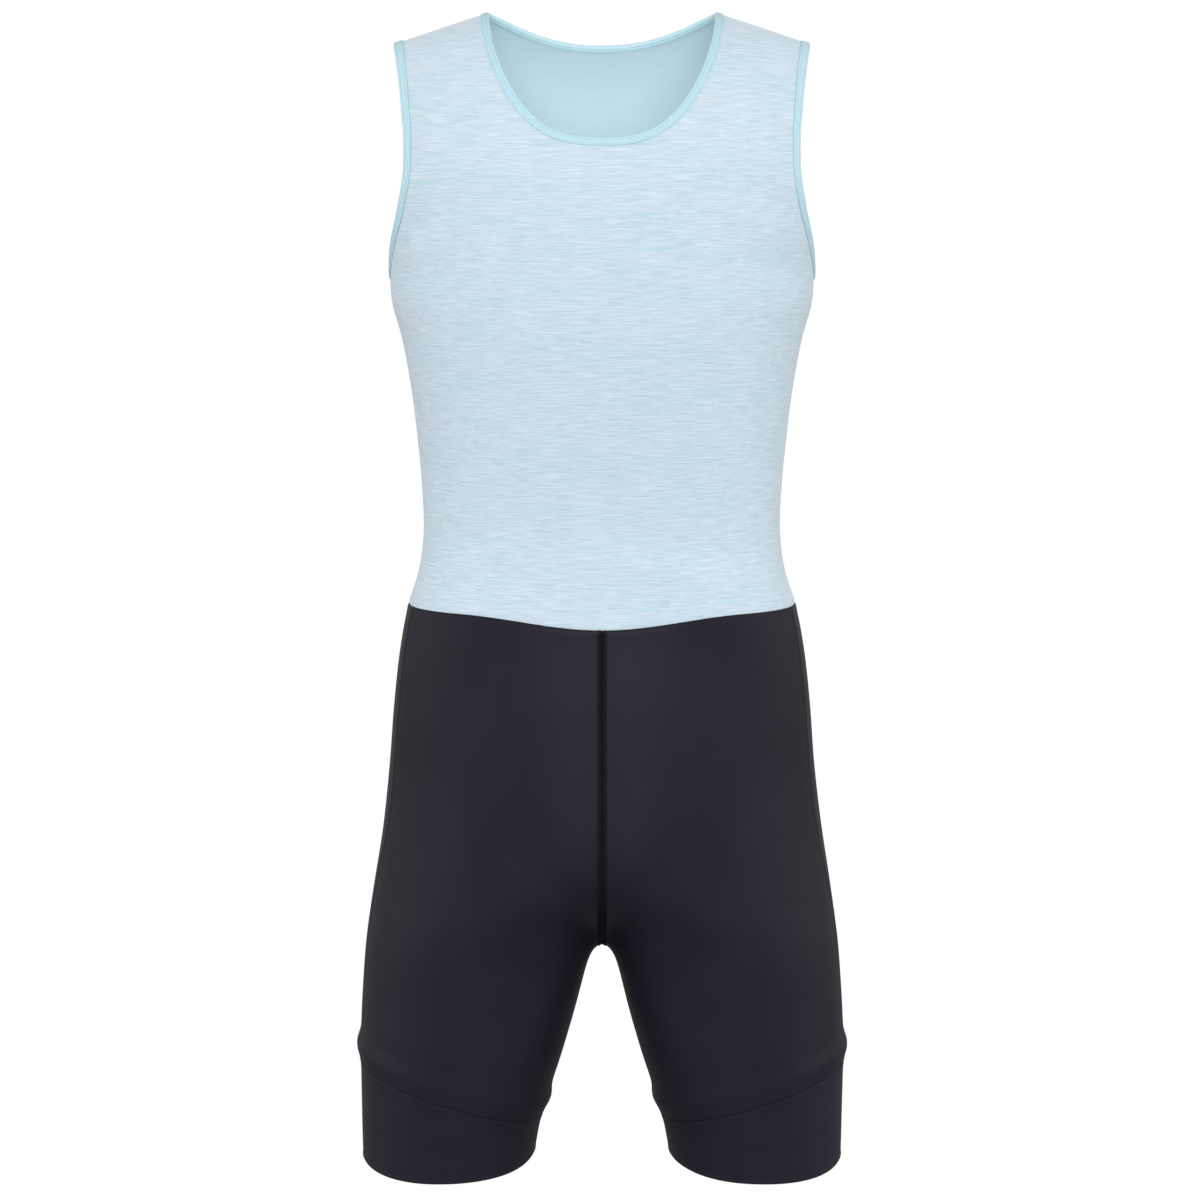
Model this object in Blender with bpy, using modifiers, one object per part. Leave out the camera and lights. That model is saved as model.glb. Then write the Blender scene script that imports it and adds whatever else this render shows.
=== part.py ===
"""A one-piece rowing suit, worn open and hollow: a sleeveless bodice sewn to knee-length shorts.

The cloth is the mid-surface of a general figure's outline, given a thin wall. +Z is up, the front
faces -Y, the wearer's left is +X, and the origin lies between the shoulders, level with the two
points where the shoulder seams meet the neck edge.
"""

import bmesh
import bpy
import numpy as np

MM = 0.001
WELD = 0.01 * MM  # points closer than this are one
TINY = 1e-9  # keeps a divisor off 0
HALVINGS = 40  # of an interval, when a place is searched for
CURVE_STEPS = 400  # in a curve that is later cut into a panel's rows or columns
ROW_STEPS = 160

# cloth and making, in metres
CLOTH = 1.2 * MM  # wall of the stretch cloth
HALF_GAP = 0.15 * MM  # two pieces that are sewn together each stop this far from the seam
BINDING_REACH = 4.8 * MM  # neck and armhole binding, how far each layer laps onto the cloth
BINDING_LAYER = 0.9 * MM
BINDING_EASE = 0.4 * MM  # between the binding's layers and the cloth that they hold

# shoulders
NECK_HALF = 84.5 * MM  # from the middle to the neck end of the shoulder seam
SHOULDER_SLOPE = 0.335  # fall of the shoulder line outwards
SLOPE_STARTS = 76.0 * MM
SLOPE_EASE = 12.0 * MM  # the bend at the neck is rounded over this width
SLOPE_FADES = 200.0 * MM  # the slope has left the rows of cloth this far down
TURN_HEIGHT = 130.0 * MM  # the chest turns over to the shoulder seam in this height

# neck edge: half a superellipse in front and one behind
FRONT_NECK_DROP = 95.0 * MM
FRONT_NECK_POWERS = (2.8, 1.45)  # across, down
BACK_NECK_DROP = 26.5 * MM
BACK_NECK_POWERS = (2.1, 1.05)

# waist seam: level behind, and a shallow point in front
WAIST_LEVEL = 435.5 * MM
WAIST_POINT = 9.0 * MM
WAIST_POINT_HALF = 105.0 * MM

# shorts
SIDE_SEAM_ANGLE = np.radians(77.0)  # seen from the leg's axis, from straight ahead
INSEAM_ANGLE = np.radians(-80.0)  # at the band: the inseam comes forward on its way down
SIDE_AT_CROTCH = 700.0 * MM  # level on the side seam of the row that starts at the crotch
BAND_SEAM_OUTER = 783.0 * MM  # level of the leg band's upper seam at the outer leg
BAND_SEAM_INNER = 829.0 * MM
HEM_OUTER = 861.0 * MM
HEM_INNER = 858.0 * MM
HEM_FRONT_DIP = 2.0 * MM
PUFF = 3.0 * MM  # the thigh stands out above the tighter band
PUFF_ABOVE = 12.0 * MM
PUFF_SPREAD = 8.0 * MM

# Sections of the figure that the cloth follows, in millimetres: level below the shoulder point,
# half width at the side, x of the inner leg (minus the half width where the trunk is one ring),
# x of the leg's axis, depth in front and behind, the ring's power, and the web between the legs.
SECTION_COLUMNS = ("level", "outer", "inner", "axis", "front", "back", "power", "web")
SECTIONS = (
    (0, 176.0, -176.0, 0.0, 92.0, 90.0, 2.3, 0.0),
    (60, 173.0, -173.0, 0.0, 101.0, 99.0, 2.3, 0.0),
    (120, 167.5, -167.5, 0.0, 108.0, 107.0, 2.3, 0.0),
    (160, 160.5, -160.5, 0.0, 111.0, 110.0, 2.3, 0.0),
    (184, 156.8, -156.8, 0.0, 111.5, 111.0, 2.3, 0.0),
    (212, 155.0, -155.0, 0.0, 111.0, 110.5, 2.3, 0.0),
    (232, 149.0, -149.0, 0.0, 110.0, 109.0, 2.3, 0.0),
    (262, 143.0, -143.0, 0.0, 107.0, 104.0, 2.3, 0.0),
    (306, 137.1, -137.1, 0.0, 102.0, 97.0, 2.3, 0.0),
    (351, 133.3, -133.3, 0.0, 97.0, 91.0, 2.3, 0.0),
    (385, 132.8, -132.8, 0.0, 95.0, 89.5, 2.3, 0.0),
    (412, 136.4, -136.4, 0.0, 96.0, 91.5, 2.3, 0.0),
    (438, 144.6, -144.6, 0.0, 98.0, 96.0, 2.3, 0.0),
    (464, 150.0, -150.0, 0.0, 99.5, 102.0, 2.3, 0.0),
    (510, 155.7, -153.0, 2.0, 101.5, 112.0, 2.3, 0.0),
    (560, 159.6, -140.0, 10.0, 102.0, 119.0, 2.25, 0.03),
    (605, 164.7, -98.0, 28.0, 101.0, 120.5, 2.2, 0.16),
    (640, 170.3, -38.0, 57.0, 99.0, 116.0, 2.15, 0.34),
    (668, 174.6, -1.0, 82.0, 97.0, 109.5, 2.1, 0.46),
    (692, 178.0, 9.0, 92.0, 94.5, 103.0, 2.1, 0.48),
    (729, 181.0, 16.8, 98.5, 90.5, 96.0, 2.1, 0.44),
    (775, 182.6, 29.6, 106.0, 86.0, 88.0, 2.1, 0.40),
    (829, 182.0, 46.6, 114.0, 80.0, 79.0, 2.1, 0.40),
    (861, 181.2, 52.6, 117.0, 77.0, 74.0, 2.1, 0.40),
)

# The armhole's edge on the left, from the shoulder tip to the side seam: how far round from the
# middle it lies, in degrees, and its depth below the shoulder line, in millimetres.
ARMHOLE_COLUMNS = ("round", "depth")
FRONT_ARMHOLE = ((57.4, 0), (54.0, 47), (53.5, 80), (55.3, 111), (60.7, 137), (70.3, 163), (90.0, 192))
BACK_ARMHOLE = ((57.4, 0), (53.0, 47), (51.5, 80), (52.6, 111), (57.5, 139), (68.0, 166), (90.0, 192))


def column(rows, columns, name):
    """One named column of a table, as an array."""
    return np.array([row[columns.index(name)] for row in rows], float)


def smooth_through(places, values, at):
    """A smooth curve through the values: cubics whose slopes are those of parabolas."""
    gaps = np.diff(places)
    rises = np.diff(values) / gaps
    slopes = np.empty(len(places))
    slopes[1:-1] = (rises[:-1] * gaps[1:] + rises[1:] * gaps[:-1]) / (gaps[1:] + gaps[:-1])
    slopes[0], slopes[-1] = rises[0], rises[-1]
    at = np.clip(at, places[0], places[-1])
    left = np.clip(np.searchsorted(places, at, side="right") - 1, 0, len(gaps) - 1)
    width = gaps[left]
    t = (at - places[left]) / width
    return (
        (1 + 2 * t) * (1 - t) ** 2 * values[left]
        + t * (1 - t) ** 2 * width * slopes[left]
        + t**2 * (3 - 2 * t) * values[left + 1]
        + t**2 * (t - 1) * width * slopes[left + 1]
    )


def section(name, level):
    """A measure of the figure at this level below the shoulder point, in metres."""
    levels = column(SECTIONS, SECTION_COLUMNS, "level") * MM
    values = column(SECTIONS, SECTION_COLUMNS, name)
    if name not in ("power", "web"):
        values = values * MM
    return smooth_through(levels, values, level)


def smooth_step(t):
    t = np.clip(t, 0, 1)
    return t * t * (3 - 2 * t)


# --- the bodice's form: coordinates are the angle round from the middle of the front, and a
# --- downward count that is 0 at the shoulder seam and 1 where the turn over the shoulder ends


def shoulder_fall(x):
    """How far the shoulder line has fallen at this distance from the middle."""
    past = np.abs(x) - SLOPE_STARTS
    return SHOULDER_SLOPE * (past + np.sqrt(past**2 + SLOPE_EASE**2)) / 2


SHOULDER_TOP = float(shoulder_fall(NECK_HALF))


def depth_of(down):
    """Depth below the shoulder line at a downward count, which is minus beyond the seam."""
    turning = TURN_HEIGHT * (1 - np.cos(np.clip(down, -1, 1) * np.pi / 2))
    return turning + np.maximum(down - 1, 0) * TURN_HEIGHT * np.pi / 2


def down_of(depth):
    """The downward count at a depth below the shoulder line."""
    turning = np.arccos(1 - np.clip(depth / TURN_HEIGHT, 0, 1)) * 2 / np.pi
    return turning + np.maximum(depth - TURN_HEIGHT, 0) / (TURN_HEIGHT * np.pi / 2)


def round_of(x, depth):
    """The angle round from the middle at which the bodice has this x at this depth."""
    level = np.maximum(depth - SHOULDER_TOP, 0)
    share = np.clip(x / section("outer", level), 0, 1)
    return np.arcsin(share ** (section("power", level) / 2))


def bodice(angle, down):
    """Points of the bodice: rings that are superellipses, drawn in to the shoulder seam above."""
    angle, down = np.broadcast_arrays(np.asarray(angle, float), np.asarray(down, float))
    depth = depth_of(down)
    level = np.maximum(depth - SHOULDER_TOP, 0)
    bend = 2 / section("power", level)
    x = section("outer", level) * np.sign(np.sin(angle)) * np.abs(np.sin(angle)) ** bend
    reach = np.sin(np.clip(down, -1, 1) * np.pi / 2) * np.abs(np.cos(angle)) ** bend
    y = np.where(np.cos(angle) > 0, -section("front", level), section("back", level)) * reach
    z = SHOULDER_TOP - depth - shoulder_fall(x) * (1 - smooth_step(depth / SLOPE_FADES))
    return np.stack([x, y, z], axis=-1)


# --- the shorts' form: coordinates are the angle round the leg's axis from straight ahead, plus
# --- outwards and minus inwards, and the level below the shoulder point

BEYOND = 250.0 * MM  # this far from a leg's axis is outside the trunk


def ring_gauge(x, y, level):
    """1 on the left leg's ring, less inside it and more outside it."""
    axis = section("axis", level)
    across = np.where(x > axis, section("outer", level) - axis, axis - section("inner", level))
    deep = np.where(y < 0, section("front", level), section("back", level))
    power = section("power", level)
    return (np.abs((x - axis) / across) ** power + np.abs(y / deep) ** power) ** (1 / power)


def trunk_gauge(x, y, level):
    """The left ring and its mirror image, joined by a soft web between the legs."""
    own, other = ring_gauge(x, y, level), ring_gauge(-x, y, level)
    web = np.maximum(section("web", level), TINY)
    near = np.maximum(web - np.abs(own - other), 0)
    return np.minimum(own, other) - near**2 / (4 * web)


def edge_between(inside, outside, level):
    """Where the line from the inner points to the outer points leaves the trunk."""
    low, high = np.zeros(level.shape), np.ones(level.shape)
    for _ in range(HALVINGS):
        middle = (low + high) / 2
        x, y = inside + (outside - inside) * middle
        within = trunk_gauge(x, y, level) < 1
        low, high = np.where(within, middle, low), np.where(within, high, middle)
    return low


def band_seam_level(x, level):
    """The leg band's seam is a slanted cut: its level at this x."""
    inner, outer = section("inner", level), section("outer", level)
    share = np.clip((x - inner) / (outer - inner), 0, 1)
    return BAND_SEAM_INNER + (BAND_SEAM_OUTER - BAND_SEAM_INNER) * share


def puff(x, level):
    """How far the thigh stands out above the band's seam, at this x and level."""
    above = (band_seam_level(x, level) - level - PUFF_ABOVE) / PUFF_SPREAD
    return PUFF * np.exp(-(above**2))


def shorts(angle, level):
    """Points of the left half of the shorts, found on rays from the leg's axis."""
    angle, level = np.broadcast_arrays(np.asarray(angle, float), np.asarray(level, float))
    axis = section("axis", level)
    to_middle = axis / np.maximum(-np.sin(angle), TINY)
    far = np.minimum(BEYOND, np.where(np.sin(angle) < 0, to_middle, BEYOND))
    centre = np.stack([axis, 0 * axis])
    heading = np.stack([np.sin(angle), -np.cos(angle)])
    place = centre + heading * far * edge_between(centre, centre + heading * far, level)
    x, y = place + heading * puff(place[0], level)
    return np.stack([np.maximum(x, 0), y, -level], axis=-1)


def web_begins():
    """The level below which the ring opens towards two legs."""
    first = int(np.flatnonzero(column(SECTIONS, SECTION_COLUMNS, "web") > 0)[0])
    return SECTIONS[first - 1][0] * MM


def crotch_level():
    """The level at which the web between the legs ends."""
    low, high = web_begins(), BAND_SEAM_OUTER
    for _ in range(HALVINGS):
        middle = (low + high) / 2
        joined = trunk_gauge(np.zeros(1), np.zeros(1), np.array([middle]))[0] < 1
        low, high = (middle, high) if joined else (low, middle)
    return low


def middle_angle(level, behind):
    """The angle round the leg's axis at which the middle seam lies, in front or behind."""
    away = np.stack([0 * level, np.full(level.shape, BEYOND if behind else -BEYOND)])
    y = (edge_between(0 * away, away, level) * away)[1]
    angle = np.arctan2(-section("axis", level), -y)
    return np.where(angle < -np.pi / 2 - TINY, angle + 2 * np.pi, angle) if behind else angle


# --- seams that run round the body, as levels


def waist_level(x):
    """The waist seam's level: a shallow point in the middle of the front."""
    share = np.clip(np.abs(x) / WAIST_POINT_HALF, 0, 1)
    return WAIST_LEVEL + WAIST_POINT * np.cos(share * np.pi / 2) ** 2


SEAM_REPEATS = 12


def band_seam(angle):
    """The level of the leg band's upper seam at this angle round the leg, found by repetition."""
    level = np.full(np.shape(angle), (BAND_SEAM_OUTER + BAND_SEAM_INNER) / 2)
    for _ in range(SEAM_REPEATS):
        level = band_seam_level(shorts(angle, level)[..., 0], level)
    return level


def hem(angle):
    """The level of the leg's hem at this angle: nearly level, a little lower in front."""
    share = (1 + np.sin(angle)) / 2
    return HEM_INNER + (HEM_OUTER - HEM_INNER) * share + HEM_FRONT_DIP * np.maximum(np.cos(angle), 0)


# --- cutting panels: a curve is an array of surface coordinates


def unit(vectors):
    return vectors / np.linalg.norm(vectors, axis=-1, keepdims=True)


def lengths_along(points):
    """Length from a polyline's start to each of its points."""
    steps = np.linalg.norm(np.diff(points, axis=0), axis=1)
    return np.concatenate([[0], np.cumsum(steps)])


def stepped(surface, curve, count, start_power=1.0, end_power=1.0):
    """The curve again as steps along the cloth: equal, or finer towards an end."""
    length = lengths_along(surface(*curve.T))
    share = np.linspace(0, 1, count + 1)
    share = 1 - (1 - share**start_power) ** end_power
    return np.stack([np.interp(share * length[-1], length, part) for part in curve.T], axis=1)


def end_to_end(*curves):
    """Curves that follow each other, without their shared points."""
    return np.concatenate([curves[0]] + [curve[1:] for curve in curves[1:]])


def straight(start, end):
    """A straight line in surface coordinates."""
    t = np.linspace(0, 1, CURVE_STEPS + 1)[:, None]
    return np.array(start) + (np.array(end) - np.array(start)) * t


def moved_in(surface, edge, width, side):
    """An edge moved into the panel by a width along the cloth; side is +1 or -1.

    The edge starts on a seam where the second coordinate is fixed, and ends where the first is.
    """
    step = 0.001
    first, second = edge.T
    by_first = (surface(first + step, second) - surface(first - step, second)) / (2 * step)
    by_second = (surface(first, second + step) - surface(first, second - step)) / (2 * step)
    along = np.gradient(surface(*edge.T), axis=0)
    inwards = side * unit(np.cross(np.cross(by_first, by_second), along)) * width
    slope = np.stack([by_first, by_second], axis=-1)
    square = np.swapaxes(slope, 1, 2) @ slope
    shift = np.linalg.solve(square, np.swapaxes(slope, 1, 2) @ inwards[..., None])[..., 0]
    shift[0, 1] = shift[-1, 0] = 0
    return edge + shift


def panel(surface, inner, outer, columns, top_seam, bottom_seam, beside=()):
    """A grid of points between two edges, whose first and last rows follow the seams.

    Each seam gives the second coordinate from the first. The columns are equal, but for the
    first ones, which end at the distances beside the inner edge.
    """
    t = np.linspace(0, 1, ROW_STEPS + 1)[:, None]
    first, last = (inner[row] + (outer[row] - inner[row]) * t for row in (0, -1))
    top_shift = top_seam(first[:, 0]) - first[:, 1]
    bottom_shift = bottom_seam(last[:, 0]) - last[:, 1]
    grid = np.empty((len(inner), columns + 1, 3))
    for row, share in enumerate(np.linspace(0, 1, len(inner))):
        line = inner[row] + (outer[row] - inner[row]) * t
        line[:, 1] += top_shift * (1 - share) + bottom_shift * share
        length = lengths_along(surface(*line.T))
        wide = np.linspace(max(beside, default=0), length[-1], columns + 1 - len(beside))
        stops = np.concatenate([[0], beside, wide[1:]])
        grid[row] = surface(*(np.interp(stops, length, part) for part in line.T))
    return grid


def drawn_in(edge, inside, width=HALF_GAP):
    """An edge moved towards the next line of points, for its half of a seam's gap."""
    return edge + unit(inside - edge) * width


# --- the bodice panels, as left halves

STRIP = 7.5 * MM  # the cloth's first strip along a bound edge
NECK_ROWS = {"front": 12, "back": 7}
CHEST_ROWS = {"front": 11, "back": 14}
BELLY_ROWS = 9
HALF_COLUMNS = 9
# two depths below the shoulder line that rows of cloth join to: on the middle, the one across
# from the armpit, and on the armhole, the one across from the bottom of the neck
CHEST_JOIN = {"front": (225.0 * MM, 98.0 * MM), "back": (215.0 * MM, 52.0 * MM)}


def neck_edge(side):
    """From the shoulder seam to the bottom of the neck: a quarter of a superellipse."""
    drop = FRONT_NECK_DROP if side == "front" else BACK_NECK_DROP
    across, down = FRONT_NECK_POWERS if side == "front" else BACK_NECK_POWERS
    turn = np.linspace(0, np.pi / 2, CURVE_STEPS + 1)
    x = NECK_HALF * np.abs(np.cos(turn)) ** (2 / across)
    x[-1] = 0
    depth = drop * np.sin(turn) ** (2 / down)
    return np.stack([round_of(x, depth), down_of(depth)], axis=1)


def armhole_edge(side):
    """From the shoulder tip to the armpit, level at both ends."""
    rows = FRONT_ARMHOLE if side == "front" else BACK_ARMHOLE
    angle = np.radians(column(rows, ARMHOLE_COLUMNS, "round"))
    down = down_of(column(rows, ARMHOLE_COLUMNS, "depth") * MM)
    angle = np.concatenate([angle[1:2], angle, np.pi - angle[-2:-1]])
    down = np.concatenate([-down[1:2], down, down[-2:-1]])
    place = lengths_along(np.stack([angle, down], axis=1))
    at = np.linspace(place[1], place[-2], CURVE_STEPS + 1)
    return np.stack([smooth_through(place, angle, at), smooth_through(place, down, at)], axis=1)


def split_at_depth(curve, depth):
    """The two parts of an edge above and below a depth."""
    cut = int(np.argmin(np.abs(depth_of(curve[:, 1]) - depth)))
    return curve[: cut + 1], curve[cut:]


def bodice_half(side):
    """Half of the front or back: a strip along the neck, one along the armhole, and the rest."""

    def surface(angle, down):
        return bodice(np.pi - angle if side == "back" else angle, down)

    def waist(angle):
        x = surface(angle, down_of(np.full(np.shape(angle), WAIST_LEVEL + SHOULDER_TOP)))[..., 0]
        level = waist_level(x) if side == "front" else np.full(x.shape, WAIST_LEVEL)
        return down_of(level + SHOULDER_TOP - HALF_GAP)

    def shoulder(angle):
        return 0 * angle

    middle_join, arm_join = CHEST_JOIN[side]
    above, below = split_at_depth(armhole_edge(side), arm_join)
    neck = stepped(surface, neck_edge(side), NECK_ROWS[side])
    arm = end_to_end(
        stepped(surface, above, NECK_ROWS[side]), stepped(surface, below, CHEST_ROWS[side])
    )
    neck_inside = moved_in(surface, neck, STRIP, -1)
    arm_inside = moved_in(surface, arm, STRIP, 1)

    join = (0, float(down_of(np.array(middle_join))))
    waist_middle, waist_side = ((angle, float(waist(angle))) for angle in (0, np.pi / 2))
    inner = end_to_end(
        neck_inside,
        stepped(surface, straight(neck_inside[-1], join), CHEST_ROWS[side]),
        stepped(surface, straight(join, waist_middle), BELLY_ROWS),
    )
    outer = end_to_end(
        arm_inside, stepped(surface, straight(arm_inside[-1], waist_side), BELLY_ROWS)
    )
    body = panel(surface, inner, outer, HALF_COLUMNS, shoulder, waist)
    neck_strip = np.stack([surface(*neck.T), surface(*neck_inside.T)], axis=1)
    arm_strip = np.stack([surface(*arm_inside.T), surface(*arm.T)], axis=1)
    return neck_strip, arm_strip, body


def bodice_sewn(patches, side):
    """The same patches with the seam gap opened at the shoulder and side, where y is 0."""
    out = -1.0 if side == "front" else 1.0
    sewn = []
    for patch in patches:
        patch = patch.copy()
        patch[..., 1] = out * np.maximum(out * patch[..., 1], HALF_GAP)
        sewn.append(patch)
    return sewn


# --- the shorts panels and leg bands, as left halves

RISE_ROWS = 14  # from the waist to the crotch
LEG_ROWS = 6  # from the crotch to the leg band
SHORTS_COLUMNS = 12
CROTCH_CLEAR = 0.5 * MM  # from the middle to the corner where four panels meet
BESIDE_MIDDLE = (1.5 * MM, 6.0 * MM, 13.0 * MM)  # ends of the narrow columns along the middle
BAND_ROWS = 2


def shorts_grid(side):
    """The left front or back, from the middle seam and inseam to the side seam."""
    behind = side == "back"
    full_turn = 2 * np.pi if behind else 0.0

    def waist(angle):
        x = shorts(angle, np.full(np.shape(angle), WAIST_LEVEL))[..., 0]
        return HALF_GAP + (np.full(x.shape, WAIST_LEVEL) if behind else waist_level(x))

    def band(angle):
        return band_seam(angle) - HALF_GAP

    crotch = crotch_level()
    start = float(waist(np.pi if behind else 0.0))
    level = start + (crotch - start) * np.sin(np.linspace(0, np.pi / 2, CURVE_STEPS + 1))
    middle = np.stack([middle_angle(level, behind), level], axis=1)
    middle[-1] = full_turn - np.pi / 2, crotch
    inseam_end = full_turn + INSEAM_ANGLE
    inseam = straight(middle[-1], (inseam_end, float(band(inseam_end))))
    side_top, side_crotch, side_end = (
        (SIDE_SEAM_ANGLE, level)
        for level in (float(waist(SIDE_SEAM_ANGLE)), SIDE_AT_CROTCH, float(band(SIDE_SEAM_ANGLE)))
    )
    inner = end_to_end(
        stepped(shorts, middle, RISE_ROWS, end_power=1.5), stepped(shorts, inseam, LEG_ROWS, 1.3)
    )
    outer = end_to_end(
        stepped(shorts, straight(side_top, side_crotch), RISE_ROWS),
        stepped(shorts, straight(side_crotch, side_end), LEG_ROWS),
    )
    return panel(shorts, inner, outer, SHORTS_COLUMNS, waist, band, BESIDE_MIDDLE)


def shorts_sewn(grid, side):
    """The same grid with its share of the seam gaps at the middle, the inseam and the side."""
    grid = grid.copy()
    grid[:, -1] = drawn_in(grid[:, -1], grid[:, -2])
    grid[RISE_ROWS + 1 :, 0] = drawn_in(grid[RISE_ROWS + 1 :, 0], grid[RISE_ROWS + 1 :, 1])
    grid[: RISE_ROWS + 1, 0, 0] = HALF_GAP
    grid[RISE_ROWS, 0, :2] = CROTCH_CLEAR, HALF_GAP if side == "back" else -HALF_GAP
    return grid


def band_grid(front, back):
    """The left leg band, a ring that starts at the inseam, below the panels' last rows."""
    around = np.concatenate([front[-1], back[-1][::-1][1:-1]])
    centre = section("axis", -around[:, 2])
    angle = np.arctan2(around[:, 0] - centre, -around[:, 1])
    top, bottom = band_seam(angle) + HALF_GAP, hem(angle)
    share = np.linspace(0, 1, BAND_ROWS + 1)[:, None]
    return shorts(angle, top + (bottom - top) * share)


# --- bindings: a folded strip, seen in section as a narrow U that holds the cloth's edge

FOLD_HALF = CLOTH / 2 + BINDING_EASE + BINDING_LAYER / 2  # from the cloth's middle to a layer's
FOLD_CLEAR = 0.3 * MM  # the bend of the fold starts this far past the cloth's edge
FOLD_SECTION = (  # along the cloth, inwards from its edge, and out of it
    (BINDING_REACH, FOLD_HALF),
    (-FOLD_CLEAR, FOLD_HALF),
    (-FOLD_CLEAR - FOLD_HALF, 0.0),
    (-FOLD_CLEAR, -FOLD_HALF),
    (BINDING_REACH, -FOLD_HALF),
)
BODY_MIDDLE = np.array([0.0, 0.0, -120.0 * MM])  # every bound edge faces away from this point


def fold_along(path, inside, before, after):
    """A strip folded over an edge: path holds the edge and inside the next points of the cloth."""
    along = unit(np.concatenate([path[1:], after]) - np.concatenate([before, path[:-1]]))
    inwards = inside - path
    inwards = unit(inwards - along * np.sum(inwards * along, axis=1, keepdims=True))
    out = np.cross(along, inwards)
    out *= np.sign(np.sum(out * (path - BODY_MIDDLE), axis=1, keepdims=True))
    return np.stack([path + inwards * lap + out * lift for lap, lift in FOLD_SECTION], axis=1)


def neck_fold(front, back):
    """The left half of the neck binding, from the front's middle over the shoulder to the back's."""
    path = np.concatenate([front[::-1, 0], back[1:, 0]])
    inside = np.concatenate([front[::-1, 1], back[1:, 1]])
    mirrored = np.array([-1.0, 1.0, 1.0])
    fold = fold_along(path, inside, path[1:2] * mirrored, path[-2:-1] * mirrored)
    fold[0, :, 0] = fold[-1, :, 0] = 0
    return fold


def armhole_fold(front, back):
    """The left armhole binding, a closed ring from the shoulder down the front and up the back."""
    path = np.concatenate([front[:, 1], back[-2:0:-1, 1]])
    inside = np.concatenate([front[:, 0], back[-2:0:-1, 0]])
    return fold_along(path, inside, path[-1:], path[:1])


# --- Blender objects


def make_material(name, color, roughness, sheen):
    material = bpy.data.materials.new(name)
    material.use_nodes = True
    shader = material.node_tree.nodes["Principled BSDF"]
    shader.inputs["Base Color"].default_value = (*color, 1.0)
    shader.inputs["Roughness"].default_value = roughness
    shader.inputs["Metallic"].default_value = 0.0
    shader.inputs["Sheen Weight"].default_value = sheen
    material.diffuse_color = (*color, 1.0)
    return material


def make_piece(collection, name, patches, material, wall, right=False, mirror=False, ring=None):
    """One sewn piece: grids of points as quads, joined where they meet, given the cloth's wall.

    right makes the wearer's right-hand piece, mirror joins the left half to its mirror image, and
    ring names the direction in which a grid closes on itself, 0 for rows and 1 for columns.
    """
    piece_mesh = bmesh.new()
    for grid in patches:
        if ring is not None:
            grid = np.concatenate([grid, grid.take([0], axis=ring)], axis=ring)
        rows, columns = grid.shape[:2]
        flip = np.array([-1.0 if right else 1.0, 1.0, 1.0])
        corners = [[piece_mesh.verts.new(point * flip) for point in row] for row in grid]
        for row in range(rows - 1):
            for place in range(columns - 1):
                quad = [corners[row][place], corners[row + 1][place]]
                quad += [corners[row + 1][place + 1], corners[row][place + 1]]
                piece_mesh.faces.new(quad[::-1] if right else quad)
    bmesh.ops.remove_doubles(piece_mesh, verts=piece_mesh.verts, dist=WELD)
    mesh = bpy.data.meshes.new(name)
    piece_mesh.to_mesh(mesh)
    piece_mesh.free()
    mesh.shade_smooth()
    mesh.materials.append(material)
    piece = bpy.data.objects.new(name, mesh)
    collection.objects.link(piece)
    if mirror:
        halves = piece.modifiers.new("Halves", "MIRROR")
        halves.merge_threshold = WELD
    cloth = piece.modifiers.new("Cloth", "SOLIDIFY")
    cloth.thickness = wall
    cloth.offset = 0
    cloth.use_even_offset = True
    return piece


def build_rowing_suit():
    for item in list(bpy.data.objects):
        bpy.data.objects.remove(item)
    collection = bpy.data.collections.new("rowing_suit")
    bpy.context.scene.collection.children.link(collection)

    jersey = make_material("melange_jersey", (0.46, 0.60, 0.68), 0.75, 0.2)
    binding = make_material("aqua_binding", (0.47, 0.76, 0.82), 0.6, 0.2)
    lycra = make_material("dark_lycra", (0.022, 0.022, 0.032), 0.45, 0.4)

    bodice_halves = {side: bodice_half(side) for side in ("front", "back")}
    for side, patches in bodice_halves.items():
        make_piece(collection, f"bodice_{side}", bodice_sewn(patches, side), jersey, CLOTH, mirror=True)

    neck_strips, arm_strips, _ = zip(*bodice_halves.values())
    neck = neck_fold(*neck_strips)
    make_piece(collection, "neck_binding", [neck], binding, BINDING_LAYER, mirror=True)
    armhole = armhole_fold(*arm_strips)
    for side in ("left", "right"):
        name = f"armhole_binding_{side}"
        make_piece(collection, name, [armhole], binding, BINDING_LAYER, right=side == "right", ring=0)

    thigh = {side: shorts_grid(side) for side in ("front", "back")}
    band = band_grid(thigh["front"], thigh["back"])
    for side in ("left", "right"):
        right = side == "right"
        for face, grid in thigh.items():
            name = f"shorts_{face}_{side}"
            make_piece(collection, name, [shorts_sewn(grid, face)], lycra, CLOTH, right=right)
        make_piece(collection, f"leg_band_{side}", [band], lycra, CLOTH, right=right, ring=1)


build_rowing_suit()
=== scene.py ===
import bpy
import numpy as np
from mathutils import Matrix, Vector


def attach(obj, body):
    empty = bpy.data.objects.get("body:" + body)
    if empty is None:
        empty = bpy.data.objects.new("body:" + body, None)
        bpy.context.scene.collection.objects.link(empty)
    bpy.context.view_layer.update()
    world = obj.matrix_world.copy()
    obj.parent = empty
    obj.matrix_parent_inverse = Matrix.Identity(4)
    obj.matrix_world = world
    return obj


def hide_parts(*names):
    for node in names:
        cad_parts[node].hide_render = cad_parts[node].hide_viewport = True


# A one-piece rowing suit, worn open and hollow. +Z is up, the front faces -Y, the wearer's left is +X.
# The origin is level with the two points where the shoulder seams meet the neck edge, so a place
# below them has a level, which is minus its z. Lengths are in metres, or in mm where a table says so.

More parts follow.
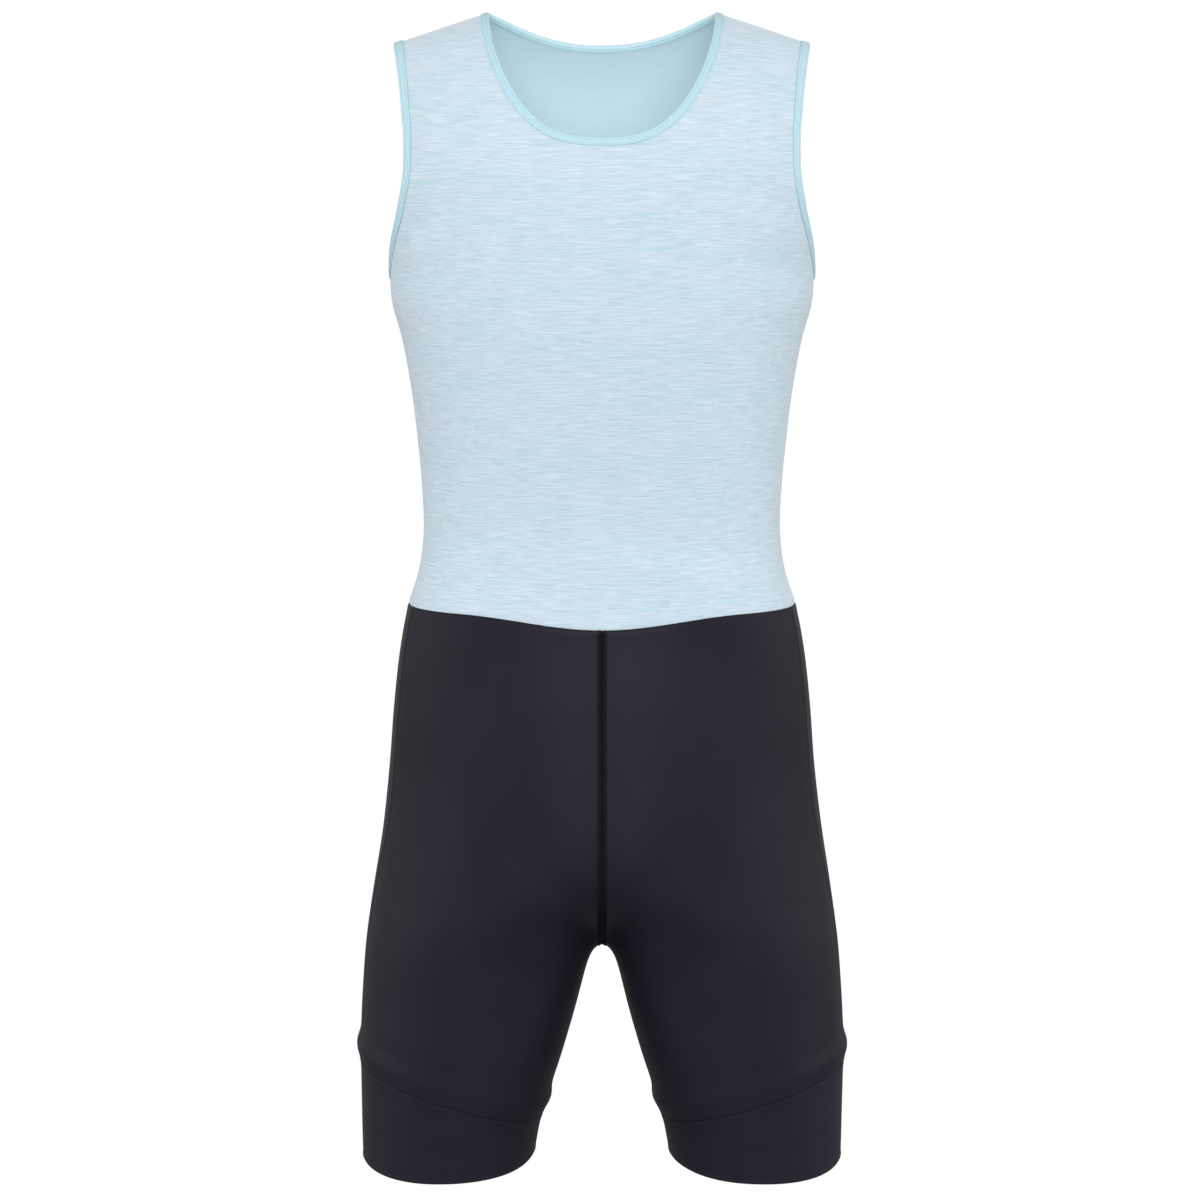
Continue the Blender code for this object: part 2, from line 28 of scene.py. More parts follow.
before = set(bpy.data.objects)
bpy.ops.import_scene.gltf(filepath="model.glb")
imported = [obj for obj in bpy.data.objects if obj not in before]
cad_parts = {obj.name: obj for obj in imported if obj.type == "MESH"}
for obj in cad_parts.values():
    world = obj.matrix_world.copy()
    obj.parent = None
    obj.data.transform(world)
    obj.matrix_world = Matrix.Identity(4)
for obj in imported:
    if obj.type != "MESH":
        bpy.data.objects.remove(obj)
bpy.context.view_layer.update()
mm = 0.001

figure = {
    # columns in mm, but for the last two: level, half width at the side, x of the inner leg,
    # x of the leg's axis, depth in front, depth behind, power of the ring, web between the legs
    "columns": ("level", "outer", "inner", "axis", "front", "back", "power", "web"),
    "rows": (
        (0, 176.0, -176.0, 0.0, 92.0, 90.0, 2.3, 0.0),
        (60, 173.0, -173.0, 0.0, 101.0, 99.0, 2.3, 0.0),
        (120, 167.5, -167.5, 0.0, 108.0, 107.0, 2.3, 0.0),
        (160, 160.5, -160.5, 0.0, 111.0, 110.0, 2.3, 0.0),
        (184, 156.8, -156.8, 0.0, 111.5, 111.0, 2.3, 0.0),
        (212, 155.0, -155.0, 0.0, 111.0, 110.5, 2.3, 0.0),
        (232, 149.0, -149.0, 0.0, 110.0, 109.0, 2.3, 0.0),
        (262, 143.0, -143.0, 0.0, 107.0, 104.0, 2.3, 0.0),
        (306, 137.1, -137.1, 0.0, 102.0, 97.0, 2.3, 0.0),
        (351, 133.3, -133.3, 0.0, 97.0, 91.0, 2.3, 0.0),
        (385, 132.8, -132.8, 0.0, 95.0, 89.5, 2.3, 0.0),
        (412, 136.4, -136.4, 0.0, 96.0, 91.5, 2.3, 0.0),
        (438, 144.6, -144.6, 0.0, 98.0, 96.0, 2.3, 0.0),
        (464, 150.0, -150.0, 0.0, 99.5, 102.0, 2.3, 0.0),
        (510, 155.7, -153.0, 2.0, 101.5, 112.0, 2.3, 0.0),
        (560, 159.6, -140.0, 10.0, 102.0, 119.0, 2.25, 0.03),
        (605, 164.7, -98.0, 28.0, 101.0, 120.5, 2.2, 0.16),
        (640, 170.3, -38.0, 57.0, 99.0, 116.0, 2.15, 0.34),
        (668, 174.6, -1.0, 82.0, 97.0, 109.5, 2.1, 0.46),
        (692, 178.0, 9.0, 92.0, 94.5, 103.0, 2.1, 0.48),
        (729, 181.0, 16.8, 98.5, 90.5, 96.0, 2.1, 0.44),
        (775, 182.6, 29.6, 106.0, 86.0, 88.0, 2.1, 0.40),
        (829, 182.0, 46.6, 114.0, 80.0, 79.0, 2.1, 0.40),
        (861, 181.2, 52.6, 117.0, 77.0, 74.0, 2.1, 0.40),
    ),
    "reading": 0.5,  # mm between the levels at which the table is read
    "softening": 4.5,  # mm, bends in the table are rounded over about this height
    "softReach": 4,  # and nothing is mixed in from further off than this many times that
}


def smoothThrough(places, values, at):
    # cubics through the values, whose slopes at a value are those of a parabola through three
    gaps = np.diff(places)
    rises = np.diff(values) / gaps
    slopes = np.empty(len(places))
    slopes[1:-1] = (rises[:-1] * gaps[1:] + rises[1:] * gaps[:-1]) / (gaps[1:] + gaps[:-1])
    slopes[0], slopes[-1] = rises[0], rises[-1]
    at = np.clip(at, places[0], places[-1])
    left = np.clip(np.searchsorted(places, at, side="right") - 1, 0, len(gaps) - 1)
    width = gaps[left]
    t = (at - places[left]) / width
    ends = (1 + 2 * t) * (1 - t) ** 2 * values[left] + t**2 * (3 - 2 * t) * values[left + 1]
    leaving = t * (1 - t) ** 2 * width * slopes[left]
    arriving = t**2 * (t - 1) * width * slopes[left + 1]
    return ends + leaving + arriving


def readFigure():
    # each column along the height, blurred by a bell curve so that highlights run smoothly
    table = np.array(figure["rows"], float)
    levels = np.arange(table[0, 0], table[-1, 0] + figure["reading"], figure["reading"])
    reach = int(figure["softReach"] * figure["softening"] / figure["reading"])
    bell = np.exp(-0.5 * (np.arange(-reach, reach + 1) * figure["reading"] / figure["softening"]) ** 2)
    curves = {}
    for name, values in zip(figure["columns"], table.T):
        raw = np.pad(smoothThrough(table[:, 0], values, levels), reach, mode="reflect", reflect_type="odd")
        curves[name] = np.convolve(raw, bell / bell.sum(), mode="valid")
        if name not in ("power", "web"):
            curves[name] *= mm
    return levels * mm, curves


figureLevels, figureCurves = readFigure()


def measure(name, level):
    # a column of the figure's table at any level
    return np.interp(level, figureLevels, figureCurves[name])


def figureAt(level):
    # all the columns there, by name
    return {name: measure(name, level) for name in figure["columns"]}


def unit(vectors):
    # each vector divided by its length
    return vectors / np.maximum(np.linalg.norm(vectors, axis=-1, keepdims=True), 1e-12)


def lengthsAlong(points):
    # length from the start of a line of points to each of them
    steps = np.linalg.norm(np.diff(points, axis=0), axis=1)
    return np.concatenate([[0], np.cumsum(steps)])


def smoothStep(t):
    # 0 to 1, eased at both ends by a cubic
    t = np.clip(t, 0, 1)
    return t * t * (3 - 2 * t)


bodiceCut = {
    "neckHalf": 84.5 * mm,  # from the middle to the neck end of the shoulder seam
    "slope": 0.335,  # fall of the shoulder line outwards
    "slopeStarts": 76 * mm,
    "slopeEase": 12 * mm,
    "slopeFades": 200 * mm,
    "turnHeight": 130 * mm,  # the chest turns over to the shoulder seam in this height
    "neckDrop": {"front": 95 * mm, "back": 26.5 * mm},
    "neckPowers": {"front": (2.8, 1.45), "back": (2.1, 1.05)},  # across, down
    # degrees round from the middle, and mm below the shoulder line
    "armhole": {
        "front": ((57.4, 0), (54.0, 47), (53.5, 80), (55.3, 111), (60.7, 137), (70.3, 163), (90.0, 192)),
        "back": ((57.4, 0), (53.0, 47), (51.5, 80), (52.6, 111), (57.5, 139), (68.0, 166), (90.0, 192)),
    },
    "waistLevel": 435.5 * mm,
    "waistPoint": 9 * mm,  # the seam dips by this in the middle of the front
    "waistPointHalf": 105 * mm,
    "chestJoin": {"front": (225 * mm, 114 * mm), "back": (215 * mm, 56 * mm)},
    "strip": 7.5 * mm,  # rows follow the bound edges over this width
    "stripColumns": 5,
    "columns": 72,  # in half a panel, beside the strips
    "neckRows": {"front": 84, "back": 46},
    "chestRows": {"front": 62, "back": 94},
    "bellyRows": 66,
    "bunch": (1.0, 1.25),  # columns and rows are finer towards the side and waist seams
    "ringShare": 0.6,  # of the depth that a ring turns away goes into the cloth's width
    "turnShare": 0.3,  # of the shoulder's turn goes into its length
    "backCloth": 0.9,  # the back's cloth coordinates start here
}


def shoulderFall(x):
    # a line that is level near the middle and slopes outwards, with a rounded bend
    past = np.abs(x) - bodiceCut["slopeStarts"]
    return bodiceCut["slope"] * (past + np.sqrt(past**2 + bodiceCut["slopeEase"] ** 2)) / 2


shoulderTop = float(shoulderFall(bodiceCut["neckHalf"]))


def depthOf(down):
    # a quarter turn of the chest from 0 to 1, and straight down below that
    turning = bodiceCut["turnHeight"] * (1 - np.cos(np.clip(down, -1, 1) * np.pi / 2))
    return turning + np.maximum(down - 1, 0) * bodiceCut["turnHeight"] * np.pi / 2


def downOf(depth):
    # the turn that has this depth
    turning = np.arccos(1 - np.clip(depth / bodiceCut["turnHeight"], 0, 1)) * 2 / np.pi
    return turning + np.maximum(depth - bodiceCut["turnHeight"], 0) / (bodiceCut["turnHeight"] * np.pi / 2)


def roundOf(x, depth):
    # the angle round from the middle at which the bodice has this x
    level = np.maximum(depth - shoulderTop, 0)
    share = np.clip(x / measure("outer", level), 0, 1)
    return np.arcsin(share ** (measure("power", level) / 2))


def bodiceAt(angle, down):
    # rings that are superellipses, drawn in to the shoulder seam above
    angle, down = np.broadcast_arrays(np.asarray(angle, float), np.asarray(down, float))
    depth = depthOf(down)
    level = np.maximum(depth - shoulderTop, 0)
    bend = 2 / measure("power", level)
    x = measure("outer", level) * np.sign(np.sin(angle)) * np.abs(np.sin(angle)) ** bend
    reach = np.sin(np.clip(down, -1, 1) * np.pi / 2) * np.abs(np.cos(angle)) ** bend
    y = np.where(np.cos(angle) > 0, -measure("front", level), measure("back", level)) * reach
    z = shoulderTop - depth - shoulderFall(x) * (1 - smoothStep(depth / bodiceCut["slopeFades"]))
    return np.stack([x, y, z], axis=-1)


shortsCut = {
    "beyond": 250 * mm,  # this far from a leg's axis is outside the trunk
    "halvings": 30,
    "trunkLevel": 510 * mm,  # the two legs are still one trunk here
    "sideSeam": np.radians(77),  # seen from the leg's axis, from straight ahead
    "inseam": np.radians(-80),  # at the band: the inseam comes forward on its way down
    "sideAtCrotch": 700 * mm,
    "bandSeamOuter": 783 * mm,
    "bandSeamInner": 825 * mm,
    "seamPasses": 8,  # rounds in which the level of the band's seam is found
    "hemOuter": 861 * mm,
    "hemInner": 858 * mm,
    "hemFrontDip": 2 * mm,
    "hemSideRise": 4 * mm,
    "hemSidePower": 3,
    "puff": 3 * mm,  # the thigh stands out above the tighter band at the outer and inner leg
    "puffAhead": 0.25,  # and by this share of it in front and behind
    "puffAbove": 12 * mm,
    "puffSpread": 8 * mm,
    "riseRows": 104,
    "legRows": 52,
    "columns": 96,
    "bunch": 1.25,  # columns and rows are finer towards the seams, and more so at the crotch
    "crotchBunch": 1.4,
    "backCloth": 0.5,
    "bandRows": 44,
    "bandColumns": 232,
}


def ringGauge(x, y, m):
    # 1 on the left leg's ring, less inside it and more outside it
    across = np.where(x > m["axis"], m["outer"] - m["axis"], m["axis"] - m["inner"])
    deep = np.where(y < 0, m["front"], m["back"])
    power = m["power"]
    return (np.abs((x - m["axis"]) / across) ** power + np.abs(y / deep) ** power) ** (1 / power)


def trunkGauge(x, y, m):
    # the smaller of the left ring's gauge and its mirror image's, with a soft web between them
    own, other = ringGauge(x, y, m), ringGauge(-x, y, m)
    web = np.maximum(m["web"], 1e-9)
    near = np.maximum(web - np.abs(own - other), 0)
    return np.minimum(own, other) - near**2 / (4 * web)


def halved(within, low, high):
    # two ends that close in by halves on the place where what is within stops
    for _ in range(shortsCut["halvings"]):
        middle = (low + high) / 2
        inside = within(middle)
        low, high = np.where(inside, middle, low), np.where(inside, high, middle)
    return low, high


def edgeBetween(inside, outside, level):
    # share of the way from the inner to the outer points at which the trunk ends
    m = figureAt(level)

    def within(share):
        x, y = inside + (outside - inside) * share
        return trunkGauge(x, y, m) < 1

    low, high = halved(within, np.zeros(level.shape), np.ones(level.shape))
    return (low + high) / 2


def bandSeamLevel(x, level):
    # the leg band's seam is a slanted cut, in a straight line across the leg
    inner, outer = measure("inner", level), measure("outer", level)
    share = np.clip((x - inner) / (outer - inner), 0, 1)
    return shortsCut["bandSeamInner"] + (shortsCut["bandSeamOuter"] - shortsCut["bandSeamInner"]) * share


def puff(x, level):
    # a bell curve above the band's seam, strongest at the two sides of the leg
    above = (bandSeamLevel(x, level) - level - shortsCut["puffAbove"]) / shortsCut["puffSpread"]
    middle = (measure("inner", level) + measure("outer", level)) / 2
    side = np.clip(np.abs(x - middle) / (measure("outer", level) - middle), 0, 1) ** 2
    share = shortsCut["puffAhead"] + (1 - shortsCut["puffAhead"]) * side
    return shortsCut["puff"] * share * np.exp(-(above**2))


def shortsAt(angle, level):
    # the left half, found on rays from the leg's axis
    angle, level = np.broadcast_arrays(np.asarray(angle, float), np.asarray(level, float))
    axis = measure("axis", level)
    toMiddle = axis / np.maximum(-np.sin(angle), 1e-9)
    far = np.minimum(shortsCut["beyond"], np.where(np.sin(angle) < 0, toMiddle, shortsCut["beyond"]))
    centre = np.stack([axis, 0 * axis])
    heading = np.stack([np.sin(angle), -np.cos(angle)])
    place = centre + heading * far * edgeBetween(centre, centre + heading * far, level)
    x, y = place + heading * puff(place[0], level)
    return np.stack([np.maximum(x, 0), y, -level], axis=-1)


def crotchLevel():
    # the level at which the web between the legs ends
    def webbed(level):
        return trunkGauge(np.zeros(1), np.zeros(1), figureAt(level)) < 1

    ends = np.array([[shortsCut["trunkLevel"]], [shortsCut["bandSeamOuter"]]])
    return float(halved(webbed, *ends)[0][0])


def middleAngle(level, behind):
    # the angle round the leg's axis at which the middle seam lies
    away = np.stack([0 * level, np.full(level.shape, shortsCut["beyond"] * (1 if behind else -1))])
    y = (edgeBetween(0 * away, away, level) * away)[1]
    angle = np.arctan2(-measure("axis", level), -y)
    return np.where(angle < -np.pi / 2 - 1e-9, angle + 2 * np.pi, angle) if behind else angle


def waistLevel(x, side):
    # level of the waist seam, which dips in front by a squared cosine
    share = np.clip(np.abs(x) / bodiceCut["waistPointHalf"], 0, 1)
    point = bodiceCut["waistPoint"] if side == "front" else 0.0
    return bodiceCut["waistLevel"] + point * np.cos(share * np.pi / 2) ** 2


def bandSeam(angle):
    # the seam's level at an angle, found again from the x at the level found before
    level = np.full(np.shape(angle), (shortsCut["bandSeamOuter"] + shortsCut["bandSeamInner"]) / 2)
    for _ in range(shortsCut["seamPasses"]):
        level = bandSeamLevel(shortsAt(angle, level)[..., 0], level)
    return level


def hemLevel(angle):
    # lower at the outer leg and in front, and drawn up at both sides
    share = (1 + np.sin(angle)) / 2
    level = shortsCut["hemInner"] + (shortsCut["hemOuter"] - shortsCut["hemInner"]) * share
    level = level - shortsCut["hemSideRise"] * np.abs(np.sin(angle)) ** shortsCut["hemSidePower"]
    return level + shortsCut["hemFrontDip"] * np.maximum(np.cos(angle), 0)


curveSteps = 400


def bunched(count, startPower=1.0, endPower=1.0):
    # shares from 0 to 1, equal where the powers are 1 and closer together at an end for more
    share = np.linspace(0, 1, count + 1)
    return 1 - (1 - share**startPower) ** endPower


def stepped(surface, curve, count, startPower=1.0, endPower=1.0):
    # the curve again as steps along the cloth: equal, or finer towards an end
    length = lengthsAlong(surface(*curve.T))
    share = bunched(count, startPower, endPower)
    return np.stack([np.interp(share * length[-1], length, part) for part in curve.T], axis=1)


def endToEnd(*curves):
    # curves that start where the one before ends, as one
    return np.concatenate([curves[0]] + [curve[1:] for curve in curves[1:]])


def straight(start, end):
    # equal steps on a straight line in the surface coordinates
    t = np.linspace(0, 1, curveSteps + 1)[:, None]
    return np.array(start) + (np.array(end) - np.array(start)) * t


def movedIn(surface, edge, width, side):
    # an edge moved into the panel: the step across it, solved for the two surface coordinates; its
    # first end stays on the shoulder seam and its last on the middle or side
    step = 0.001
    first, second = edge.T
    byFirst = (surface(first + step, second) - surface(first - step, second)) / (2 * step)
    bySecond = (surface(first, second + step) - surface(first, second - step)) / (2 * step)
    along = np.gradient(surface(*edge.T), axis=0)
    inwards = side * unit(np.cross(np.cross(byFirst, bySecond), along)) * width
    slope = np.stack([byFirst, bySecond], axis=-1)
    square = np.swapaxes(slope, 1, 2) @ slope
    shift = np.linalg.solve(square, np.swapaxes(slope, 1, 2) @ inwards[..., None])[..., 0]
    shift[0, 1] = shift[-1, 0] = 0
    return edge + shift


def between(inner, outer, columns):
    # surface coordinates on straight lines between two edges, in equal shares
    t = np.linspace(0, 1, columns + 1)[None, :, None]
    return inner[:, None] + (outer - inner)[:, None] * t


def panelPlaces(surface, inner, outer, columns, topSeam, bottomSeam, bunch):
    # rows of surface coordinates from one edge to the other, in equal steps along the cloth; the
    # first and last rows follow the seams, which give the second coordinate from the first
    fine = between(inner, outer, 2 * columns)
    topShift = topSeam(fine[0, :, 0]) - fine[0, :, 1]
    bottomShift = bottomSeam(fine[-1, :, 0]) - fine[-1, :, 1]
    share = np.linspace(0, 1, len(inner))[:, None]
    fine[..., 1] += topShift * (1 - share) + bottomShift * share
    steps = np.linalg.norm(np.diff(surface(fine[..., 0], fine[..., 1]), axis=1), axis=2)
    length = np.concatenate([np.zeros((len(inner), 1)), np.cumsum(steps, axis=1)], axis=1)
    length /= length[:, -1:]
    stops = bunched(columns, *bunch)
    rows = []
    for reached, row in zip(length, fine):
        rows.append(np.stack([np.interp(stops, reached, part) for part in row.T], axis=1))
    return np.stack(rows)


def neckEdge(side):
    # from the shoulder seam to the bottom of the neck: a quarter of a superellipse
    across, down = bodiceCut["neckPowers"][side]
    turn = np.linspace(0, np.pi / 2, curveSteps + 1)
    x = bodiceCut["neckHalf"] * np.abs(np.cos(turn)) ** (2 / across)
    x[-1] = 0
    depth = bodiceCut["neckDrop"][side] * np.sin(turn) ** (2 / down)
    return np.stack([roundOf(x, depth), downOf(depth)], axis=1)


def armholeEdge(side):
    # from the shoulder tip to the armpit, level at both ends
    angle, depth = np.array(bodiceCut["armhole"][side], float).T
    angle, down = np.radians(angle), downOf(depth * mm)
    angle = np.concatenate([angle[1:2], angle, np.pi - angle[-2:-1]])
    down = np.concatenate([-down[1:2], down, down[-2:-1]])
    place = lengthsAlong(np.stack([angle, down], axis=1))
    at = np.linspace(place[1], place[-2], curveSteps + 1)
    return np.stack([smoothThrough(place, angle, at), smoothThrough(place, down, at)], axis=1)


def bodiceSide(side):
    # the bodice's surface with its angle counted from the middle of the front or of the back
    def surface(angle, down):
        return bodiceAt(np.pi - angle if side == "back" else angle, down)

    return surface


def bodiceHalf(side):
    # half of the front or back as three grids: a strip on the neck edge, one on the armhole, the rest
    surface = bodiceSide(side)

    def waist(angle):
        x = surface(angle, downOf(np.full(np.shape(angle), bodiceCut["waistLevel"] + shoulderTop)))[..., 0]
        return downOf(waistLevel(x, side) + shoulderTop)

    def shoulder(angle):
        return 0 * angle

    middleJoin, armJoin = bodiceCut["chestJoin"][side]
    edge = armholeEdge(side)
    cut = int(np.argmin(np.abs(depthOf(edge[:, 1]) - armJoin)))
    neckRows, chestRows = bodiceCut["neckRows"][side], bodiceCut["chestRows"][side]
    belly = (bodiceCut["bellyRows"], *bodiceCut["bunch"])
    neck = stepped(surface, neckEdge(side), neckRows)
    arm = endToEnd(stepped(surface, edge[: cut + 1], neckRows), stepped(surface, edge[cut:], chestRows))
    neckInside = movedIn(surface, neck, bodiceCut["strip"], -1)
    armInside = movedIn(surface, arm, bodiceCut["strip"], 1)
    join = (0, float(downOf(np.array(middleJoin))))
    waistMiddle, waistSide = ((angle, float(waist(angle))) for angle in (0, np.pi / 2))
    chest = stepped(surface, straight(neckInside[-1], join), chestRows)
    inner = endToEnd(neckInside, chest, stepped(surface, straight(join, waistMiddle), *belly))
    outer = endToEnd(armInside, stepped(surface, straight(armInside[-1], waistSide), *belly))
    body = panelPlaces(surface, inner, outer, bodiceCut["columns"], shoulder, waist, bodiceCut["bunch"])
    neckStrip = between(neck, body[: len(neck), 0], bodiceCut["stripColumns"])
    armStrip = between(body[: len(arm), -1], arm, bodiceCut["stripColumns"])
    return neckStrip, armStrip, body


def shortsHalf(side):
    # the left front or back, from the middle seam and inseam to the side seam
    behind = side == "back"
    fullTurn = 2 * np.pi if behind else 0.0
    rise, leg, bunch = shortsCut["riseRows"], shortsCut["legRows"], shortsCut["bunch"]

    def waist(angle):
        x = shortsAt(angle, np.full(np.shape(angle), bodiceCut["waistLevel"]))[..., 0]
        return waistLevel(x, side)

    crotch = crotchLevel()
    start = float(waist(np.pi if behind else 0.0))
    level = start + (crotch - start) * np.sin(np.linspace(0, np.pi / 2, curveSteps + 1))
    middle = np.stack([middleAngle(level, behind), level], axis=1)
    middle[-1] = fullTurn - np.pi / 2, crotch
    inseamEnd = fullTurn + shortsCut["inseam"]
    inseam = straight(middle[-1], (inseamEnd, float(bandSeam(inseamEnd))))
    angle = shortsCut["sideSeam"]
    levels = (float(waist(angle)), shortsCut["sideAtCrotch"], float(bandSeam(angle)))
    sideTop, sideCrotch, sideEnd = ((angle, at) for at in levels)
    inner = endToEnd(
        stepped(shortsAt, middle, rise, bunch, shortsCut["crotchBunch"]),
        stepped(shortsAt, inseam, leg, bunch, bunch),
    )
    outer = endToEnd(
        stepped(shortsAt, straight(sideTop, sideCrotch), rise, startPower=bunch),
        stepped(shortsAt, straight(sideCrotch, sideEnd), leg, endPower=bunch),
    )
    return panelPlaces(shortsAt, inner, outer, shortsCut["columns"], waist, bandSeam, (bunch, bunch))


relief = {
    # lines on the cloth, a row for each. Columns: part, hand (+1 left, -1 right), degrees round and
    # level in mm at the start and at the end, half width and height in mm; a minus height is a trough
    "creases": (
        # front of the bodice: drag lines from the armpits, and slack above the waist
        ("bodice", 1, 62, 150, 20, 105, 9, -0.9),
        ("bodice", 1, 66, 168, 24, 132, 10, 0.9),
        ("bodice", 1, 70, 196, 34, 172, 9, -0.8),
        ("bodice", -1, 64, 160, 30, 126, 9, -0.8),
        ("bodice", -1, 70, 186, 40, 160, 10, 0.7),
        ("bodice", 1, 50, 416, -10, 392, 11, 1.0),
        ("bodice", 1, 58, 400, 0, 372, 10, -0.9),
        ("bodice", -1, 62, 408, 20, 386, 9, 0.8),
        ("bodice", -1, 66, 392, 26, 366, 9, -0.7),
        ("bodice", 1, 84, 330, 52, 306, 10, -0.8),
        ("bodice", -1, 82, 344, 50, 322, 11, -0.7),
        # back of the bodice
        ("bodice", 1, 118, 160, 156, 128, 10, -0.9),
        ("bodice", 1, 112, 184, 148, 156, 10, 0.8),
        ("bodice", -1, 116, 170, 150, 134, 9, -0.8),
        ("bodice", -1, 110, 196, 146, 176, 11, 0.8),
        ("bodice", 1, 104, 352, 196, 366, 11, -1.6),
        ("bodice", -1, 100, 380, 178, 394, 11, -1.5),
        ("bodice", 1, 108, 372, 170, 386, 10, 1.3),
        ("bodice", -1, 112, 402, 186, 412, 9, 1.2),
        ("bodice", 1, 100, 410, 150, 418, 8, -1.0),
        # front of the shorts: soft pulls at the crotch and inner thigh, and above the bands
        ("shorts", 1, -46, 662, -12, 628, 13, -0.5),
        ("shorts", 1, -40, 684, 2, 660, 14, 0.4),
        ("shorts", -1, -44, 668, -10, 636, 13, -0.5),
        ("shorts", -1, -38, 690, 6, 670, 14, 0.4),
        ("shorts", 1, -40, 742, -2, 730, 14, -0.35),
        ("shorts", -1, -44, 752, -6, 742, 14, -0.35),
        ("shorts", 1, 70, 752, 24, 764, 12, 0.6),
        ("shorts", -1, 68, 746, 20, 760, 12, 0.6),
        # back of the shorts: under the seat and behind the knee
        ("shorts", 1, 236, 668, 176, 686, 11, -1.5),
        ("shorts", -1, 238, 674, 180, 694, 11, -1.4),
        ("shorts", 1, 232, 690, 186, 704, 11, 1.0),
        ("shorts", -1, 234, 698, 184, 712, 11, 1.0),
        ("shorts", 1, 250, 748, 190, 756, 12, -1.0),
        ("shorts", -1, 244, 742, 186, 752, 12, -1.0),
        ("shorts", 1, 112, 770, 160, 776, 11, 0.9),
        ("shorts", -1, 116, 764, 166, 770, 11, 0.9),
    ),
    "creaseSteps": 10,
    "groove": -0.7 * mm,  # plain seams sink by this, and those of the leg bands by a part of it
    "bandShare": 0.35,
    "grooveWidth": 1.3 * mm,
    "swell": 0.3 * mm,  # and the cloth beside them stands out a little
    "swellWidth": 5.5 * mm,
    "seamStep": 3 * mm,
    "reach": 2.6,  # a line is felt this many widths away
    "taper": 0.8,  # power of the sine by which a crease starts and ends
    "wavesHeight": 0.16 * mm,  # slow unevenness all over
    "waves": 14,
    "waveLengths": (55 * mm, 150 * mm),
    "seed": 11,
}
hands = {"left": 1, "right": -1}  # the wearer's, with the sign that x has there


def mirrored(points, hand):
    # the left side's points, or their mirror image for the right hand
    return points * np.array([float(hand), 1.0, 1.0])


def creaseLines():
    # each row of the table as a line of points, its width and height, and that it tapers
    lines = []
    for part, hand, round1, level1, round2, level2, width, height in relief["creases"]:
        angle = np.radians(np.linspace(round1, round2, relief["creaseSteps"] + 1))
        level = np.linspace(level1, level2, relief["creaseSteps"] + 1) * mm
        points = bodiceAt(angle, downOf(level + shoulderTop)) if part == "bodice" else shortsAt(angle, level)
        lines.append((mirrored(points, hand), width * mm, height * mm, True))
    return lines


def seamLines():
    # each seam as a line of points on the surface, by name; the left one where there are two
    def along(surface, curve):
        length = lengthsAlong(surface(*curve.T))[-1]
        return surface(*stepped(surface, curve, int(length / relief["seamStep"])).T)

    front, back = shortsPlaces["front"], shortsPlaces["back"]
    armhole = armholeEdge("front")
    waistSide = (np.pi / 2, float(downOf(bodiceCut["waistLevel"] + shoulderTop)))
    rise = shortsCut["riseRows"]
    turn = np.concatenate([front[0], back[0][::-1]])
    knee = np.concatenate([front[-1], back[-1][::-1]])
    return {
        "shoulder": along(bodiceAt, straight(neckEdge("front")[0], armhole[0])),
        "side": along(bodiceAt, straight(armhole[-1], waistSide)),
        "waist": along(shortsAt, turn),
        "hip": along(shortsAt, front[:, -1]),
        "middleFront": along(shortsAt, front[: rise + 1, 0]),
        "middleBack": along(shortsAt, back[: rise + 1, 0]),
        "inseam": along(shortsAt, front[rise:, 0]),
        "band": along(shortsAt, knee),
    }


def nearLine(points, line):
    # distance from each point to the nearest place on a line of points, and that place's share of it
    start, step = line[:-1], np.diff(line, axis=0)
    square = np.maximum((step**2).sum(1), 1e-18)
    offset = points[:, None] - start[None]
    t = np.clip((offset * step).sum(2) / square, 0, 1)
    gap = np.linalg.norm(offset - t[..., None] * step, axis=2)
    nearest = gap.argmin(1)
    rows = np.arange(len(points))
    return gap[rows, nearest], (nearest + t[rows, nearest]) / len(step)


def slowWaves(points):
    # a sum of faint sine waves in many directions
    rng = np.random.default_rng(relief["seed"])
    height = np.zeros(len(points))
    for _ in range(relief["waves"]):
        heading = unit(rng.normal(size=3))
        waveLength = rng.uniform(*relief["waveLengths"])
        height += np.sin(points @ heading * 2 * np.pi / waveLength + rng.uniform(0, 2 * np.pi))
    return height * relief["wavesHeight"] / np.sqrt(relief["waves"] / 2)


def reliefAt(points):
    # how far the finished cloth stands off the plain surface: waves, creases, then seams
    height = slowWaves(points)
    for line, width, tall, tapers in reliefLines:
        reach = relief["reach"] * width
        close = ((points > line.min(0) - reach) & (points < line.max(0) + reach)).all(1)
        if close.any():
            gap, share = nearLine(points[close], line)
            ends = np.sin(np.pi * share) ** relief["taper"] if tapers else 1.0
            height[close] += tall * np.exp(-((gap / width) ** 2)) * ends
    return height


def gridQuads(rows, columns, start=0, wrap=False, loop=False):
    # corner numbers of the quads of a grid of points; wrap joins the last column to the first, and
    # loop the last row to the first
    number = np.arange(rows * columns).reshape(rows, columns) + start
    if wrap:
        number = np.concatenate([number, number[:, :1]], axis=1)
    if loop:
        number = np.concatenate([number, number[:1]], axis=0)
    corners = [number[:-1, :-1], number[1:, :-1], number[1:, 1:], number[:-1, 1:]]
    return np.stack(corners, axis=-1).reshape(-1, 4)


wall = 1.2 * mm  # thickness of the cloth
rimSteps = 4  # round a cut edge
seamGap = 0.08 * mm  # left between pieces that are sewn together
weldWithin = 0.01 * mm  # points that are nearer than this become one


